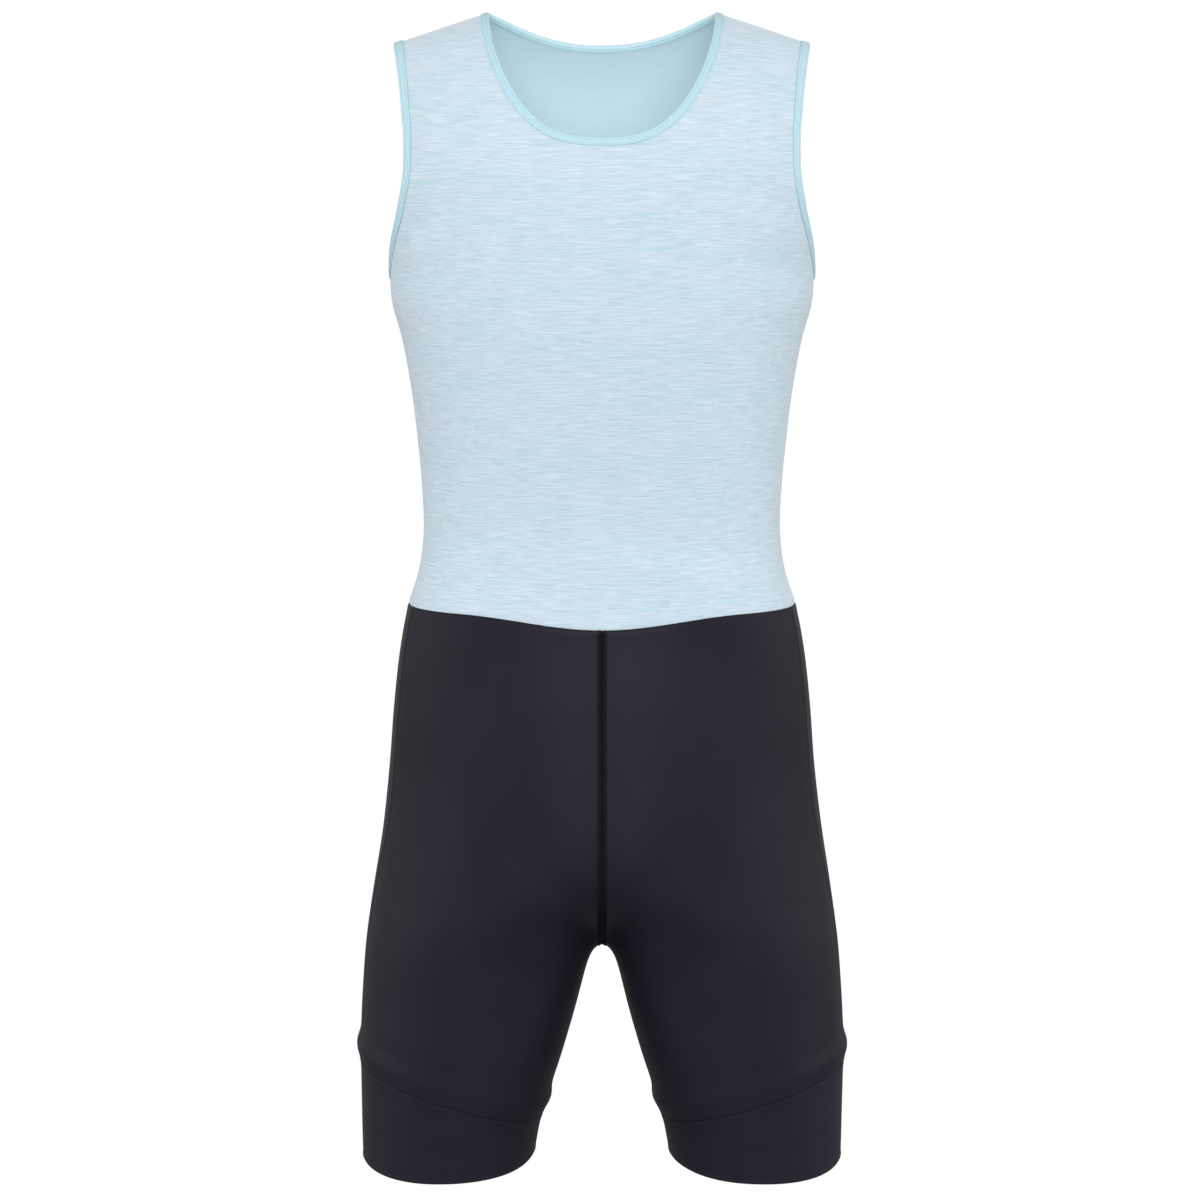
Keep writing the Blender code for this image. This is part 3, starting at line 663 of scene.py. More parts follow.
def joined(grids, cloths):
    # several grids of points and of cloth coordinates as one mesh; points that lie together are one
    quads, start = [], 0
    for grid in grids:
        rows, columns = grid.shape[:2]
        quads.append(gridQuads(rows, columns, start))
        start += rows * columns
    points = np.concatenate([grid.reshape(-1, 3) for grid in grids])
    cloth = np.concatenate([flat.reshape(-1, 2) for flat in cloths])
    cells = np.round(points / weldWithin)
    _, first, number = np.unique(cells, axis=0, return_index=True, return_inverse=True)
    return points[first], number.reshape(-1)[np.concatenate(quads)], cloth[first]


def vertexNormals(points, quads):
    # sums of the quads' crossed diagonals round each point
    a, b, c, d = (points[quads[:, k]] for k in range(4))
    face = np.cross(c - a, d - b)
    normals = np.zeros_like(points)
    for k in range(4):
        np.add.at(normals, quads[:, k], face)
    return unit(normals)


def borderEdges(quads):
    # edges that only one quad uses, in the direction that it uses them
    edges = np.concatenate([quads[:, [k, (k + 1) % 4]] for k in range(4)])
    top = quads.max() + 1
    forward = edges[:, 0] * top + edges[:, 1]
    backward = edges[:, 1] * top + edges[:, 0]
    return edges[~np.isin(forward, backward)]


def clothShell(points, quads, normals, thickness):
    # two sheets half a thickness either side of the points, joined along the borders by half rounds
    count = len(points)
    edges = borderEdges(quads)
    rim, number = np.unique(edges, return_inverse=True)
    first, last = number.reshape(-1, 2).T
    across = unit(np.cross(points[edges[:, 1]] - points[edges[:, 0]], normals[edges].sum(1)))
    outwards = np.zeros((len(rim), 3))
    np.add.at(outwards, first, across)
    np.add.at(outwards, last, across)
    outwards = unit(outwards)
    half = np.broadcast_to(thickness / 2, count)[:, None]
    turn = np.pi * np.arange(1, rimSteps) / rimSteps
    rounds = [points[rim] + half[rim] * (np.cos(a) * normals[rim] + np.sin(a) * outwards) for a in turn]
    places = np.concatenate([points + normals * half, points - normals * half] + rounds)
    middle = [2 * count + k * len(rim) + np.arange(len(rim)) for k in range(rimSteps - 1)]
    rings = [rim, *middle, rim + count]
    faces = [quads, quads[:, ::-1] + count]
    for above, below in zip(rings[:-1], rings[1:]):
        faces.append(np.stack([above[last], above[first], below[first], below[last]], axis=1))
    source = np.concatenate([np.arange(count), np.arange(count)] + [rim] * (rimSteps - 1))
    inside = np.concatenate([np.zeros(count), np.ones(count), np.repeat((1 - np.cos(turn)) / 2, len(rim))])
    return places, np.concatenate(faces), source, inside


def addObject(name, data):
    # a new object at the origin
    thing = bpy.data.objects.new(name, data)
    bpy.context.scene.collection.objects.link(thing)
    return thing


def makePiece(name, places, faces, material, cloth=None, inside=None):
    # cloth is a pair of coordinates for each place, and inside is 1 on a sheet's inner face
    mesh = bpy.data.meshes.new(name)
    mesh.from_pydata(places, [], faces.tolist() if isinstance(faces, np.ndarray) else faces)
    mesh.shade_smooth()
    if cloth is not None:
        corners = np.empty(len(mesh.loops), np.int32)
        mesh.loops.foreach_get("vertex_index", corners)
        layer = mesh.uv_layers.new(name="cloth")
        layer.data.foreach_set("uv", cloth[corners].astype(np.float32).ravel())
        layer = mesh.attributes.new("inside", "FLOAT", "POINT")
        layer.data.foreach_set("value", inside.astype(np.float32))
    mesh.materials.append(material)
    mesh.update()
    return addObject(name, mesh)


def facingOut(points, quads):
    # the quads of a closed mesh, reversed if the volume inside them comes out negative
    a, b, c, d = (points[quads[:, k]] for k in range(4))
    volume = (np.cross(b, c) * a).sum() + (np.cross(c, d) * a).sum()
    return quads if volume > 0 else quads[:, ::-1]


def swept(centres, across, up, profile, loop):
    # a closed profile of (across, up) lengths carried along a path; profile may change on the way
    profile = np.broadcast_to(profile, (len(centres), *profile.shape[-2:]))
    points = centres[:, None] + across[:, None] * profile[..., :1] + up[:, None] * profile[..., 1:]
    rows, columns = points.shape[:2]
    return points.reshape(-1, 3), gridQuads(rows, columns, wrap=True, loop=loop)


def resampled(line, step, loop=False):
    # points in equal steps along a line of points, and how far along it they lie
    if loop:
        line = np.concatenate([line, line[:1]])
    length = lengthsAlong(line)
    count = max(int(round(length[-1] / step)), 2)
    stops = np.linspace(0, length[-1], count + 1)[: count if loop else count + 1]
    return np.stack([np.interp(stops, length, part) for part in line.T], axis=1), stops


def directions(line, normals, loop):
    # along a line of points, across it on the cloth, and up from the cloth
    if loop:
        around = np.concatenate([line[-1:], line, line[:1]])
    else:
        around = np.pad(line, ((1, 1), (0, 0)), mode="edge")
    along = unit(around[2:] - around[:-2])
    across = unit(np.cross(along, normals))
    return along, across, unit(np.cross(across, along))


threadSides = 4
threadTip = 0.05  # an open end closes up to this share of the radius


def thread(line, normals, radius, lift, loop=False):
    # a thread along a line on the cloth, its middle lifted off it
    up = directions(line, normals, loop)[2]
    centres = line + up * np.reshape(lift, (-1, 1))
    along, across, up = directions(centres, normals, loop)
    turn = np.arange(threadSides) * 2 * np.pi / threadSides
    size = np.full((len(line), 1, 1), radius)
    if not loop:
        size[0] = size[-1] = radius * threadTip
    profile = size * np.stack([np.cos(turn), np.sin(turn)], axis=1)[None]
    points, quads = swept(centres, across, up, profile, loop)
    faces = facingOut(points, quads).tolist()
    if not loop:
        for start, outward in ((0, -along[0]), (len(points) - threadSides, along[-1])):
            cap = list(range(start, start + threadSides))
            a, b, c = points[cap[:3]]
            faces.append(cap if np.dot(np.cross(b - a, c - b), outward) > 0 else cap[::-1])
    return points, faces


def together(meshes):
    # several (points, faces) as one
    points, faces, start = [], [], 0
    for some, corners in meshes:
        points.append(some)
        faces += [[c + start for c in face] for face in corners]
        start += len(some)
    return np.concatenate(points), faces


class Wire:
    # a socket of a material; arithmetic on it adds Math nodes
    def __init__(self, tree, socket):
        self.tree = tree
        self.socket = socket

    def math(self, operation, other):
        return addNode(self.tree, "ShaderNodeMath", {"operation": operation}, {0: self, 1: other})

    def __add__(self, other):
        return self.math("ADD", other)

    def __mul__(self, other):
        return self.math("MULTIPLY", other)

    __radd__ = __add__
    __rmul__ = __mul__


def addNode(tree, kind, settings=None, sockets=None, output=0):
    # settings are set first, because some of them change which sockets there are
    node = tree.nodes.new(kind)
    for name, value in (settings or {}).items():
        setattr(node, name, value)
    for name, value in (sockets or {}).items():
        if isinstance(value, Wire):
            tree.links.new(value.socket, node.inputs[name])
        else:
            node.inputs[name].default_value = value
    return Wire(tree, node.outputs[output])


def newMaterial(name, constants):
    # the shader's own sockets take what does not vary
    material = bpy.data.materials.new(name)
    material.use_nodes = True
    shader = material.node_tree.nodes["Principled BSDF"]
    for socket, value in constants.items():
        shader.inputs[socket].default_value = value
    return material, material.node_tree, shader


def feed(tree, shader, **wires):
    # the wires that vary, to the sockets of these names
    for name, wire in wires.items():
        tree.links.new(wire.socket, shader.inputs[name.replace("_", " ")])


def clothNoise(tree, across, down, layer, detail, roughness=0.5):
    # noise over the cloth's own coordinates, stretched to these lengths, in a layer of its own
    uv = addNode(tree, "ShaderNodeUVMap", {"uv_map": "cloth"})
    scale = (1 / across, 1 / down, 1.0)
    scaled = addNode(tree, "ShaderNodeVectorMath", {"operation": "MULTIPLY"}, {0: uv, 1: scale})
    vector = addNode(tree, "ShaderNodeVectorMath", {"operation": "ADD"}, {0: scaled, 1: (0, 0, layer)})
    sockets = {"Vector": vector, "Scale": 1.0, "Detail": detail, "Roughness": roughness}
    return addNode(tree, "ShaderNodeTexNoise", {"noise_dimensions": "3D"}, sockets)


def ramp(tree, wire, low, high):
    # 0 below low and 1 above high, eased between
    settings = {"interpolation_type": "SMOOTHSTEP"}
    return addNode(tree, "ShaderNodeMapRange", settings, {"Value": wire, "From Min": low, "From Max": high})


def mixed(tree, factor, first, second):
    # the first colour at factor 0 and the second at factor 1
    settings = {"data_type": "RGBA"}
    return addNode(tree, "ShaderNodeMix", settings, {0: factor, 6: first, 7: second}, output=2)


def bumped(tree, height, distance, strength):
    # a normal tilted by the slope of the height
    sockets = {"Height": height, "Distance": distance, "Strength": strength}
    return addNode(tree, "ShaderNodeBump", {}, sockets)


def fromScreen(colour):
    # a colour as a screen shows it, made linear
    values = np.array(colour) / 255
    linear = np.where(values <= 0.04045, values / 12.92, ((values + 0.055) / 1.055) ** 2.4)
    return (*(float(v) for v in linear), 1.0)


def clothMaterial(name, look):
    # a material with the look's constants, and its noises by name
    material, tree, shader = newMaterial(name, look["constants"])
    return material, tree, shader, {label: clothNoise(tree, *row) for label, row in look["noises"].items()}


def finishCloth(tree, shader, look, colour, grain, height):
    # the grain also varies the roughness, and the height bends the light
    least, more = look["roughness"]
    normal = bumped(tree, height, *look["bump"])
    feed(tree, shader, Base_Color=colour, Roughness=least + more * grain, Normal=normal)


def innerFace(tree):
    # 1 on the inner face of a sheet
    return addNode(tree, "ShaderNodeAttribute", {"attribute_name": "inside"}, output=2)


jerseyLook = {
    "constants": {"Sheen Weight": 0.32, "Sheen Roughness": 0.45, "Specular IOR Level": 0.2},
    # length along a row of knitting, height, layer, detail, roughness
    "noises": {
        "light": (24 * mm, 1.1 * mm, 3, 3, 0.6),
        "aqua": (60 * mm, 2.2 * mm, 11, 3, 0.6),
        "grey": (18 * mm, 0.95 * mm, 19, 2, 0.6),
        "cloud": (90 * mm, 26 * mm, 27, 2),
        "stitch": (0.8 * mm, 0.7 * mm, 35, 1),
    },
    "base": (194, 209, 218),
    # streaks over it: colour, the noise at which they start and are full, strength
    "aqua": ((180, 207, 216), 0.66, 0.94, 0.85),
    "light": ((206, 220, 230), 0.45, 0.65, 0.9),
    "grey": ((174, 195, 205), 0.5, 0.68, 0.75),
    "cloudShare": 0.5,  # the aqua streaks gather in clouds
    # the inner face's colour: partly the reverse side's own hue, partly painted light that makes the hollow
    # inside the bodice paler
    "inside": (208, 233, 242),
    "paintedInsideLightShare": 0.75,
    "roughness": (0.72, 0.12),  # least, and what the noise adds
    "bump": (0.25 * mm, 0.6),  # height, strength
}


def jerseyMaterial(look):
    # three kinds of streak laid one over another on a pale base, then the inner face painted paler: partly
    # the reverse side's own hue, partly painted light
    material, tree, shader, noises = clothMaterial("melange_jersey", look)
    masks = dict(noises, aqua=noises["aqua"] + noises["cloud"] * look["cloudShare"])
    colour = fromScreen(look["base"])
    for name in ("aqua", "light", "grey"):
        streak, start, full, strength = look[name]
        colour = mixed(tree, ramp(tree, masks[name], start, full) * strength, colour, fromScreen(streak))
    colour = mixed(tree, innerFace(tree) * look["paintedInsideLightShare"], colour, fromScreen(look["inside"]))
    height = noises["light"] * 0.5 + noises["stitch"] * 0.5
    finishCloth(tree, shader, look, colour, noises["grey"], height)
    return material


lycraLook = {
    "constants": {"Specular IOR Level": 0.08, "Specular Tint": (1.0, 0.95, 0.9, 1.0)},
    "noises": {
        "patch": (70 * mm, 110 * mm, 2, 3),
        "grain": (0.55 * mm, 0.55 * mm, 5, 1),
        "rib": (0.9 * mm, 9 * mm, 9, 1),
    },
    "deep": (29, 29, 38),
    "worn": (35, 34, 44),
    "mask": (0.4, 0.9),
    "maskGrain": 0.3,
    "roughness": (0.4, 0.1),
    "bump": (0.12 * mm, 0.5),
}


def lycraMaterial(look):
    # two near blacks, mixed by large patches with a fine grain
    material, tree, shader, noises = clothMaterial("dark_lycra", look)
    mask = ramp(tree, noises["patch"] + look["maskGrain"] * noises["grain"], *look["mask"])
    colour = mixed(tree, mask, fromScreen(look["deep"]), fromScreen(look["worn"]))
    height = noises["rib"] * 0.6 + noises["grain"] * 0.4
    finishCloth(tree, shader, look, colour, noises["grain"], height)
    return material


bindingLook = {
    "constants": {"Sheen Weight": 0.1, "Specular IOR Level": 0.3},
    "noises": {
        "rib": (0.9 * mm, 6 * mm, 4, 1),
        "grain": (14 * mm, 1.2 * mm, 8, 2),
    },
    "base": (182, 216, 225),
    # the darker tone: partly painted shade in the rib troughs, partly random grain
    "shade": (175, 210, 219),
    # painted light: the inner face of the fold is painted paler than the strip, to light its shaded side
    "inside": (216, 248, 254),
    "mask": (0.35, 0.65),
    "roughness": (0.5, 0.15),
    "bump": (0.2 * mm, 0.6),
}


def bindingMaterial(look):
    # two tones mixed by the ribs and the grain, the darker one partly painted shade in the rib troughs, and
    # an inner face painted paler as painted light
    material, tree, shader, noises = clothMaterial("aqua_binding", look)
    mask = ramp(tree, 0.5 * noises["rib"] + 0.5 * noises["grain"], *look["mask"])
    colour = mixed(tree, mask, fromScreen(look["shade"]), fromScreen(look["base"]))
    # painted light: the paler colour laid on the inner face
    colour = mixed(tree, innerFace(tree), colour, fromScreen(look["inside"]))
    finishCloth(tree, shader, look, colour, noises["grain"], noises["rib"])
    return material


threadLook = {
    # colour and least roughness
    "pale": ((182, 214, 223), 0.5),
    # the dark thread is near-black, darker than the lycra: partly the thread's own colour, partly a painted
    # shadow line along the seam
    "dark": ((9, 9, 13), 0.6),
    "cover": ((21, 20, 27), 0.6),
    "twist": 0.6 * mm,
    "shade": 0.75,  # between the twists
    "mask": (0.35, 0.65),
    "rougher": 0.1,
    "specular": 0.1,
}


def threadMaterial(kind, look):
    # one colour, darker between the twists
    shown, roughness = look[kind]
    material, tree, shader = newMaterial(f"{kind}_thread", {"Specular IOR Level": look["specular"]})
    place = addNode(tree, "ShaderNodeTexCoord", output=3)
    sockets = {"Vector": place, "Scale": 1 / look["twist"], "Detail": 1.0}
    twist = addNode(tree, "ShaderNodeTexNoise", {"noise_dimensions": "3D"}, sockets)
    light = fromScreen(shown)
    shade = (*(c * look["shade"] for c in light[:3]), 1.0)
    colour = mixed(tree, ramp(tree, twist, *look["mask"]), shade, light)
    feed(tree, shader, Base_Color=colour, Roughness=roughness + look["rougher"] * twist)
    return material


materials = {
    "jersey": jerseyMaterial(jerseyLook),
    "lycra": lycraMaterial(lycraLook),
    "binding": bindingMaterial(bindingLook),
    **{f"{kind}Thread": threadMaterial(kind, threadLook) for kind in ("pale", "dark", "cover")},
}
print("materials ready")


def dress(piece, node):
    # a piece rides on the only body, and takes the place of its node if it has one
    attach(piece, "root")
    if node:
        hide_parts(node)
    return piece


def makeCloth(name, points, quads, cloth, material, thickness=wall):
    # the points are moved out by the relief, and the shell is made round them
    points = points + vertexNormals(points, quads) * reliefAt(points)[:, None]
    places, faces, source, inside = clothShell(points, quads, vertexNormals(points, quads), thickness)
    return makePiece(name, places, faces, material, cloth[source], inside)


def bodiceCloth(places, points):
    # cloth coordinates: across by x and by the depth that the ring has turned away, then down, so
    # that the rows of knitting stay level; on top of the shoulder they keep a share of its length
    down = places[..., 1]
    depth = depthOf(down)
    deepest = measure("front", np.maximum(depth - shoulderTop, 0)) * np.sin(np.clip(down, 0, 1) * np.pi / 2)
    across = points[..., 0] + bodiceCut["ringShare"] * np.maximum(deepest - np.abs(points[..., 1]), 0)
    turned = down * bodiceCut["turnHeight"] * np.pi / 2 - depth
    return np.stack([across, shoulderTop - points[..., 2] + bodiceCut["turnShare"] * turned], axis=-1)


def facedOut(grid, cloth, side, hand):
    # the columns of a front and of its mirror image run opposite ways, and so do those of a back
    if (hand == -1) == (side == "front"):
        return grid[:, ::-1], cloth[:, ::-1]
    return grid, cloth


def makeBodice(side):
    # the three grids and their mirror images, kept clear of the shoulder and waist seams
    surface = bodiceSide(side)
    out = -1.0 if side == "front" else 1.0
    halves = []
    for places in bodicePlaces[side]:
        points = surface(places[..., 0], places[..., 1])
        points[..., 1] = out * np.maximum(out * points[..., 1], seamGap)
        points[..., 2] = np.maximum(points[..., 2], seamGap - waistLevel(points[..., 0], side))
        cloth = bodiceCloth(places, points) + (0.0 if side == "front" else bodiceCut["backCloth"])
        for hand in (1, -1):
            halves.append(facedOut(mirrored(points, hand), cloth * np.array([hand, 1.0]), side, hand))
    points, quads, cloth = joined(*zip(*halves))
    return makeCloth(f"bodice_{side}_cloth", points, quads, cloth, materials["jersey"])


def makeShorts(side, name):
    # one grid, kept clear of the middle seam; its cloth runs round from that seam
    places = shortsPlaces[side]
    grid = shortsAt(places[..., 0], places[..., 1])
    grid[: shortsCut["riseRows"] + 1, 0, 0] = seamGap
    steps = np.linalg.norm(np.diff(grid, axis=1), axis=2)
    across = np.concatenate([np.zeros((len(grid), 1)), np.cumsum(steps, axis=1)], axis=1)
    start = shortsCut["backCloth"] if side == "back" else 0.0
    cloth = np.stack([across + start, -grid[..., 2]], axis=-1)
    grid, cloth = facedOut(mirrored(grid, hands[name]), cloth, side, hands[name])
    points, quads, cloth = joined([grid], [cloth])
    return makeCloth(f"shorts_{side}_{name}_cloth", points, quads, cloth, materials["lycra"])


bandLook = {"hemWall": 1.9 * mm, "foldHeight": 1.6 * mm}


def makeBand(name):
    # a ring of cloth whose lower edge is folded, so it thickens there by a bell curve
    turn = np.linspace(0, 2 * np.pi, shortsCut["bandColumns"], endpoint=False) + shortsCut["inseam"]
    top, bottom = bandSeam(turn) + seamGap, hemLevel(turn)
    share = np.linspace(0, 1, shortsCut["bandRows"] + 1)[:, None]
    grid = shortsAt(turn, top + (bottom - top) * share)
    rows, columns = grid.shape[:2]
    around = lengthsAlong(np.concatenate([grid[0], grid[0, :1]]))[:-1]
    cloth = np.stack([np.broadcast_to(around, (rows, columns)), -grid[..., 2]], axis=-1).reshape(-1, 2)
    quads = gridQuads(rows, columns, wrap=True)
    quads = quads if hands[name] == 1 else quads[:, ::-1]
    points = mirrored(grid.reshape(-1, 3), hands[name])
    above = (bottom + grid[..., 2]).reshape(-1)
    fold = np.exp(-((above / bandLook["foldHeight"]) ** 2))
    thickness = wall + (bandLook["hemWall"] - wall) * fold
    return makeCloth(f"leg_band_{name}_cloth", points, quads, cloth, materials["lycra"], thickness)


print("cutting panels")
bodicePlaces = {side: bodiceHalf(side) for side in ("front", "back")}
shortsPlaces = {side: shortsHalf(side) for side in ("front", "back")}
seams = seamLines()
reliefLines = creaseLines()
for seamName, line in seams.items():
    groove = relief["groove"] * (relief["bandShare"] if seamName == "band" else 1)
    for hand in (1,) if seamName.startswith("middle") else (1, -1):
        reliefLines.append((mirrored(line, hand), relief["grooveWidth"], groove, False))
        reliefLines.append((mirrored(line, hand), relief["swellWidth"], relief["swell"], False))

panels = {}
for side in ("front", "back"):
    panels[f"bodice_{side}"] = makeBodice(side)
    for name in hands:
        panels[f"shorts_{side}_{name}"] = makeShorts(side, name)
for name in hands:
    panels[f"leg_band_{name}"] = makeBand(name)
for node, panel in panels.items():
    dress(panel, node)
print("panels made")

binding = {
    # the strip is folded over the edge: lengths are inwards from the cloth's edge, and off the cloth
    "layer": 0.55 * mm,
    "ease": 0.15 * mm,
    "reach": {"neck": 4.7 * mm, "armhole": 5.7 * mm},
    "past": 0.3 * mm,  # the fold's bend starts this far past the cloth's edge
    "edgeRound": 0.6 * mm,
    "laps": 9,  # steps across a face, round its edge, round the fold outside and inside
    "edgeSteps": 3,
    "foldSteps": 8,
    "innerSteps": 5,
    "needles": (0.7, 0.1),  # two rows of stitches, at these shares of the reach
    "dent": 0.16 * mm,  # the rows pull the strip in
    "dentWidth": 0.5 * mm,
    "dentWave": 0.35,  # by this share of it less half-way along a stitch
    "crown": 0.25 * mm,  # and between them it stands up
    "crownPast": 1.2 * mm,
    "stitch": 3.2 * mm,
    "pucker": 0.06 * mm,
    "step": 1.067 * mm,
    "threadStep": 0.8 * mm,
    "threadRadius": 0.15 * mm,
    "threadHop": 1.6,  # in radii, up between the stitches' ends, where the thread is sunk
    "threadSunk": 0.7,
    "edgeRows": 150,  # of half an edge as it is read from the panel
    "edgeInside": 2 * mm,  # the way into the cloth is taken over this, and smoothed over the next
    "smoothing": 4 * mm,
    "paintedInnerLight": (1.2 * mm, 0.4),  # height over which the inner face's painted light grows, and its start in that
}
bodyMiddle = np.array([0.0, 0.0, -120.0 * mm])  # every bound edge faces away from this point


def boundEdge(kind, step):
    # the neck's edge or the left armhole as a closed line: points, the way into the cloth, and out
    edges = []
    for side in ("front", "back"):
        surface = bodiceSide(side)
        curve = neckEdge(side) if kind == "neck" else armholeEdge(side)
        places = stepped(surface, curve, binding["edgeRows"])
        inside = movedIn(surface, places, binding["edgeInside"], -1 if kind == "neck" else 1)
        points = surface(*places.T)
        edges.append(np.concatenate([points, surface(*inside.T) - points], axis=1))
    front, back = edges
    if kind == "neck":
        left = np.concatenate([front[::-1], back[1:]])
        other = left[-2:0:-1] * np.array([-1.0, 1, 1, -1, 1, 1])
        both = np.concatenate([left, other])
    else:
        both = np.concatenate([front, back[-2:0:-1]])
    both, _ = resampled(both, step, loop=True)
    line, inwards = both[:, :3], unit(both[:, 3:])
    for _ in range(int(binding["smoothing"] / step) + 2):
        inwards = (np.roll(inwards, 1, axis=0) + inwards + np.roll(inwards, -1, axis=0)) / 3
    along = unit(np.roll(line, -1, axis=0) - np.roll(line, 1, axis=0))
    inwards = unit(inwards - along * (inwards * along).sum(1, keepdims=True))
    out = np.cross(along, inwards)
    out *= np.sign((out * (line - bodyMiddle)).sum(1, keepdims=True))
    return line, inwards, out


def stripHeight(lap, stops, reach):
    # how far the outer face stands off the cloth's middle: a crown, less the dents along the rows
    # of stitches, which are deepest at each stitch's ends, and rounded down at the strip's edge
    low = wall / 2 + binding["ease"]
    spread = np.clip((lap + binding["crownPast"]) / (reach + binding["crownPast"]), 0, 1)
    offsets = [(lap - share * reach) / binding["dentWidth"] for share in binding["needles"]]
    dents = sum(np.exp(-(offset**2)) for offset in offsets)
    wave = 0.5 + 0.5 * np.cos(2 * np.pi * stops / binding["stitch"])[:, None]
    depth = binding["dent"] * dents * (1 - binding["dentWave"] + binding["dentWave"] * wave)
    height = low + binding["layer"] + binding["crown"] * np.sin(np.pi * spread) - depth
    height = height + binding["pucker"] * (wave - 0.5) * (1 - np.clip(dents, 0, 1))
    past = np.clip(1 - (reach - lap) / binding["edgeRound"], 0, 1)
    return low + (height - low) * np.sqrt(np.maximum(1 - past**2, 0))


def foldProfile(stops, reach):
    # the outline of the folded strip at each place along it: over one face, round the fold, back
    # over the other face, and the same way back inside
    past = binding["past"]
    turn = np.linspace(np.pi / 2, 0, binding["edgeSteps"] + 1)
    edge = reach - binding["edgeRound"] * (1 - np.sin(turn))
    lap = np.concatenate([edge[:-1], np.linspace(edge[-1], -past, binding["laps"] + 1)])
    height = stripHeight(lap[None], stops, reach)
    turn = np.linspace(0, np.pi, binding["foldSteps"] + 1)[1:-1]
    lap = np.broadcast_to(lap, height.shape)
    bendHeight = height[:, -1:]
    bend = np.stack([-past - bendHeight * np.sin(turn), bendHeight * np.cos(turn)], axis=-1)
    outer = [np.stack([lap, height], axis=-1), bend, np.stack([lap, -height], axis=-1)[:, ::-1]]
    low = wall / 2 + binding["ease"]
    turn = np.linspace(0, np.pi, binding["innerSteps"] + 1)
    inner = np.stack([-past - low * np.sin(turn), low * np.cos(turn)], axis=1)[::-1]
    inner = np.concatenate([[(reach / 2, -low)], inner, [(reach / 2, low)]])
    return np.concatenate([*outer, np.broadcast_to(inner, (len(stops), *inner.shape))], axis=1)


def raised(kind, hand, step):
    # the bound edge set on the finished cloth, with lengths along it in whole stitches
    line, inwards, out = boundEdge(kind, step)
    line = line + out * reliefAt(mirrored(line, hand))[:, None]
    stitches = round(len(line) * step / binding["stitch"])
    return line, inwards, out, np.arange(len(line)) * stitches * binding["stitch"] / len(line)


def makeBinding(kind, name, node, hand):
    # the folded strip carried round the edge, and two rows of thread on each of its faces
    reach, radius = binding["reach"][kind], binding["threadRadius"]
    line, inwards, out, stops = raised(kind, hand, binding["step"])
    profile = foldProfile(stops, reach)
    points, quads = swept(line, inwards, out, profile, loop=True)
    points = mirrored(points, hand)
    across = lengthsAlong(profile[0])
    cloth = np.stack(np.broadcast_arrays(stops[:, None], across[None]), axis=-1).reshape(-1, 2)
    # where the inner face takes its painted light
    full, starts = binding["paintedInnerLight"]
    inside = np.clip(-profile[..., 1] / full - starts, 0, 1).reshape(-1)
    quads = facingOut(points, quads)
    strip = makePiece(f"{name}_binding_strip", points, quads, materials["binding"], cloth, inside)
    line, inwards, out, stops = raised(kind, hand, binding["threadStep"])
    wave = np.abs(np.sin(np.pi * stops / binding["stitch"]))
    hop = radius * (binding["threadHop"] * wave - binding["threadSunk"])
    threads = []
    for share in binding["needles"]:
        row = line + inwards * share * reach
        lift = stripHeight(np.array([[share * reach]]), stops, reach)[:, 0] + hop
        threads += [thread(row, out * face, radius, lift, loop=True) for face in (1, -1)]
    points, faces = together(threads)
    faces = faces if hand == 1 else [face[::-1] for face in faces]
    stitches = makePiece(f"{name}_binding_stitches", mirrored(points, hand), faces, materials["paleThread"])
    return dress(strip, node), dress(stitches, None)


bindings = [makeBinding("neck", "neck", "neck_binding", 1)]
for name, hand in hands.items():
    bindings.append(makeBinding("armhole", f"armhole_{name}", f"armhole_binding_{name}", hand))
print("bindings made")

flatlock = {
    # the covering stitch over the two middle seams
    "half": 3.1 * mm,  # half its width
    "pitch": 1.5 * mm,
    "swings": 14,  # points to one zigzag
    "radius": 0.3 * mm,
    "lift": 0.05 * mm,
    "rows": (-3.15 * mm, -1.1 * mm, 1.1 * mm, 3.15 * mm),  # needle rows
    "rowRadius": 0.26 * mm,
    "rowStep": 0.8 * mm,
    "rowStitch": 2.4 * mm,
    "rowHop": 0.5,  # in row radii
    "startsBelow": 1.0 * mm,  # the waist seam
    "stopsShort": 1.5 * mm,  # of the crotch
    "patchHalf": 4.2 * mm,
    "columns": 13,
    "search": (9 * mm, 2 * mm),  # inwards and outwards from the seam's own plane
}


def onTrunk(points, out):
    # points moved along out on to the shorts' plain surface
    def within(places):
        gauge = trunkGauge(places[..., 0], places[..., 1], figureAt(-places[..., 2]))
        return (gauge < 1)[..., None]

    inwards, outwards = flatlock["search"]
    low, high = halved(within, points - out * inwards, points + out * outwards)
    return (low + high) / 2


def seamPatch(side):
    # a narrow grid of points on the finished cloth along a middle seam, with its outward directions
    curve = shortsPlaces[side][: shortsCut["riseRows"] + 1, 0]
    middle = shortsAt(*curve.T) * np.array([0.0, 1, 1])
    across = np.array([1.0, 0, 0])
    out = unit(np.cross(np.gradient(middle, axis=0), across))
    out *= np.sign((out[:, 1] * middle[:, 1]).mean())
    offsets = np.linspace(-1, 1, flatlock["columns"]) * flatlock["patchHalf"]
    grid = onTrunk(middle[:, None] + offsets[None, :, None] * across, out[:, None])
    out = unit(np.cross(np.gradient(grid, axis=0), np.gradient(grid, axis=1)))
    out *= np.sign((out[..., 1] * grid[..., 1]).mean())
    height = reliefAt(grid.reshape(-1, 3)).reshape(out.shape[:2]) + wall / 2
    return grid + out * height[..., None], out, lengthsAlong(middle), offsets


def cellOf(at, stops):
    # number of the cell of rising stops that each place lies in, and its share of the way across it
    place = np.clip(np.interp(at, stops, np.arange(len(stops))), 0, len(stops) - 1.001)
    cell = place.astype(int)
    return cell, (place - cell)[:, None]


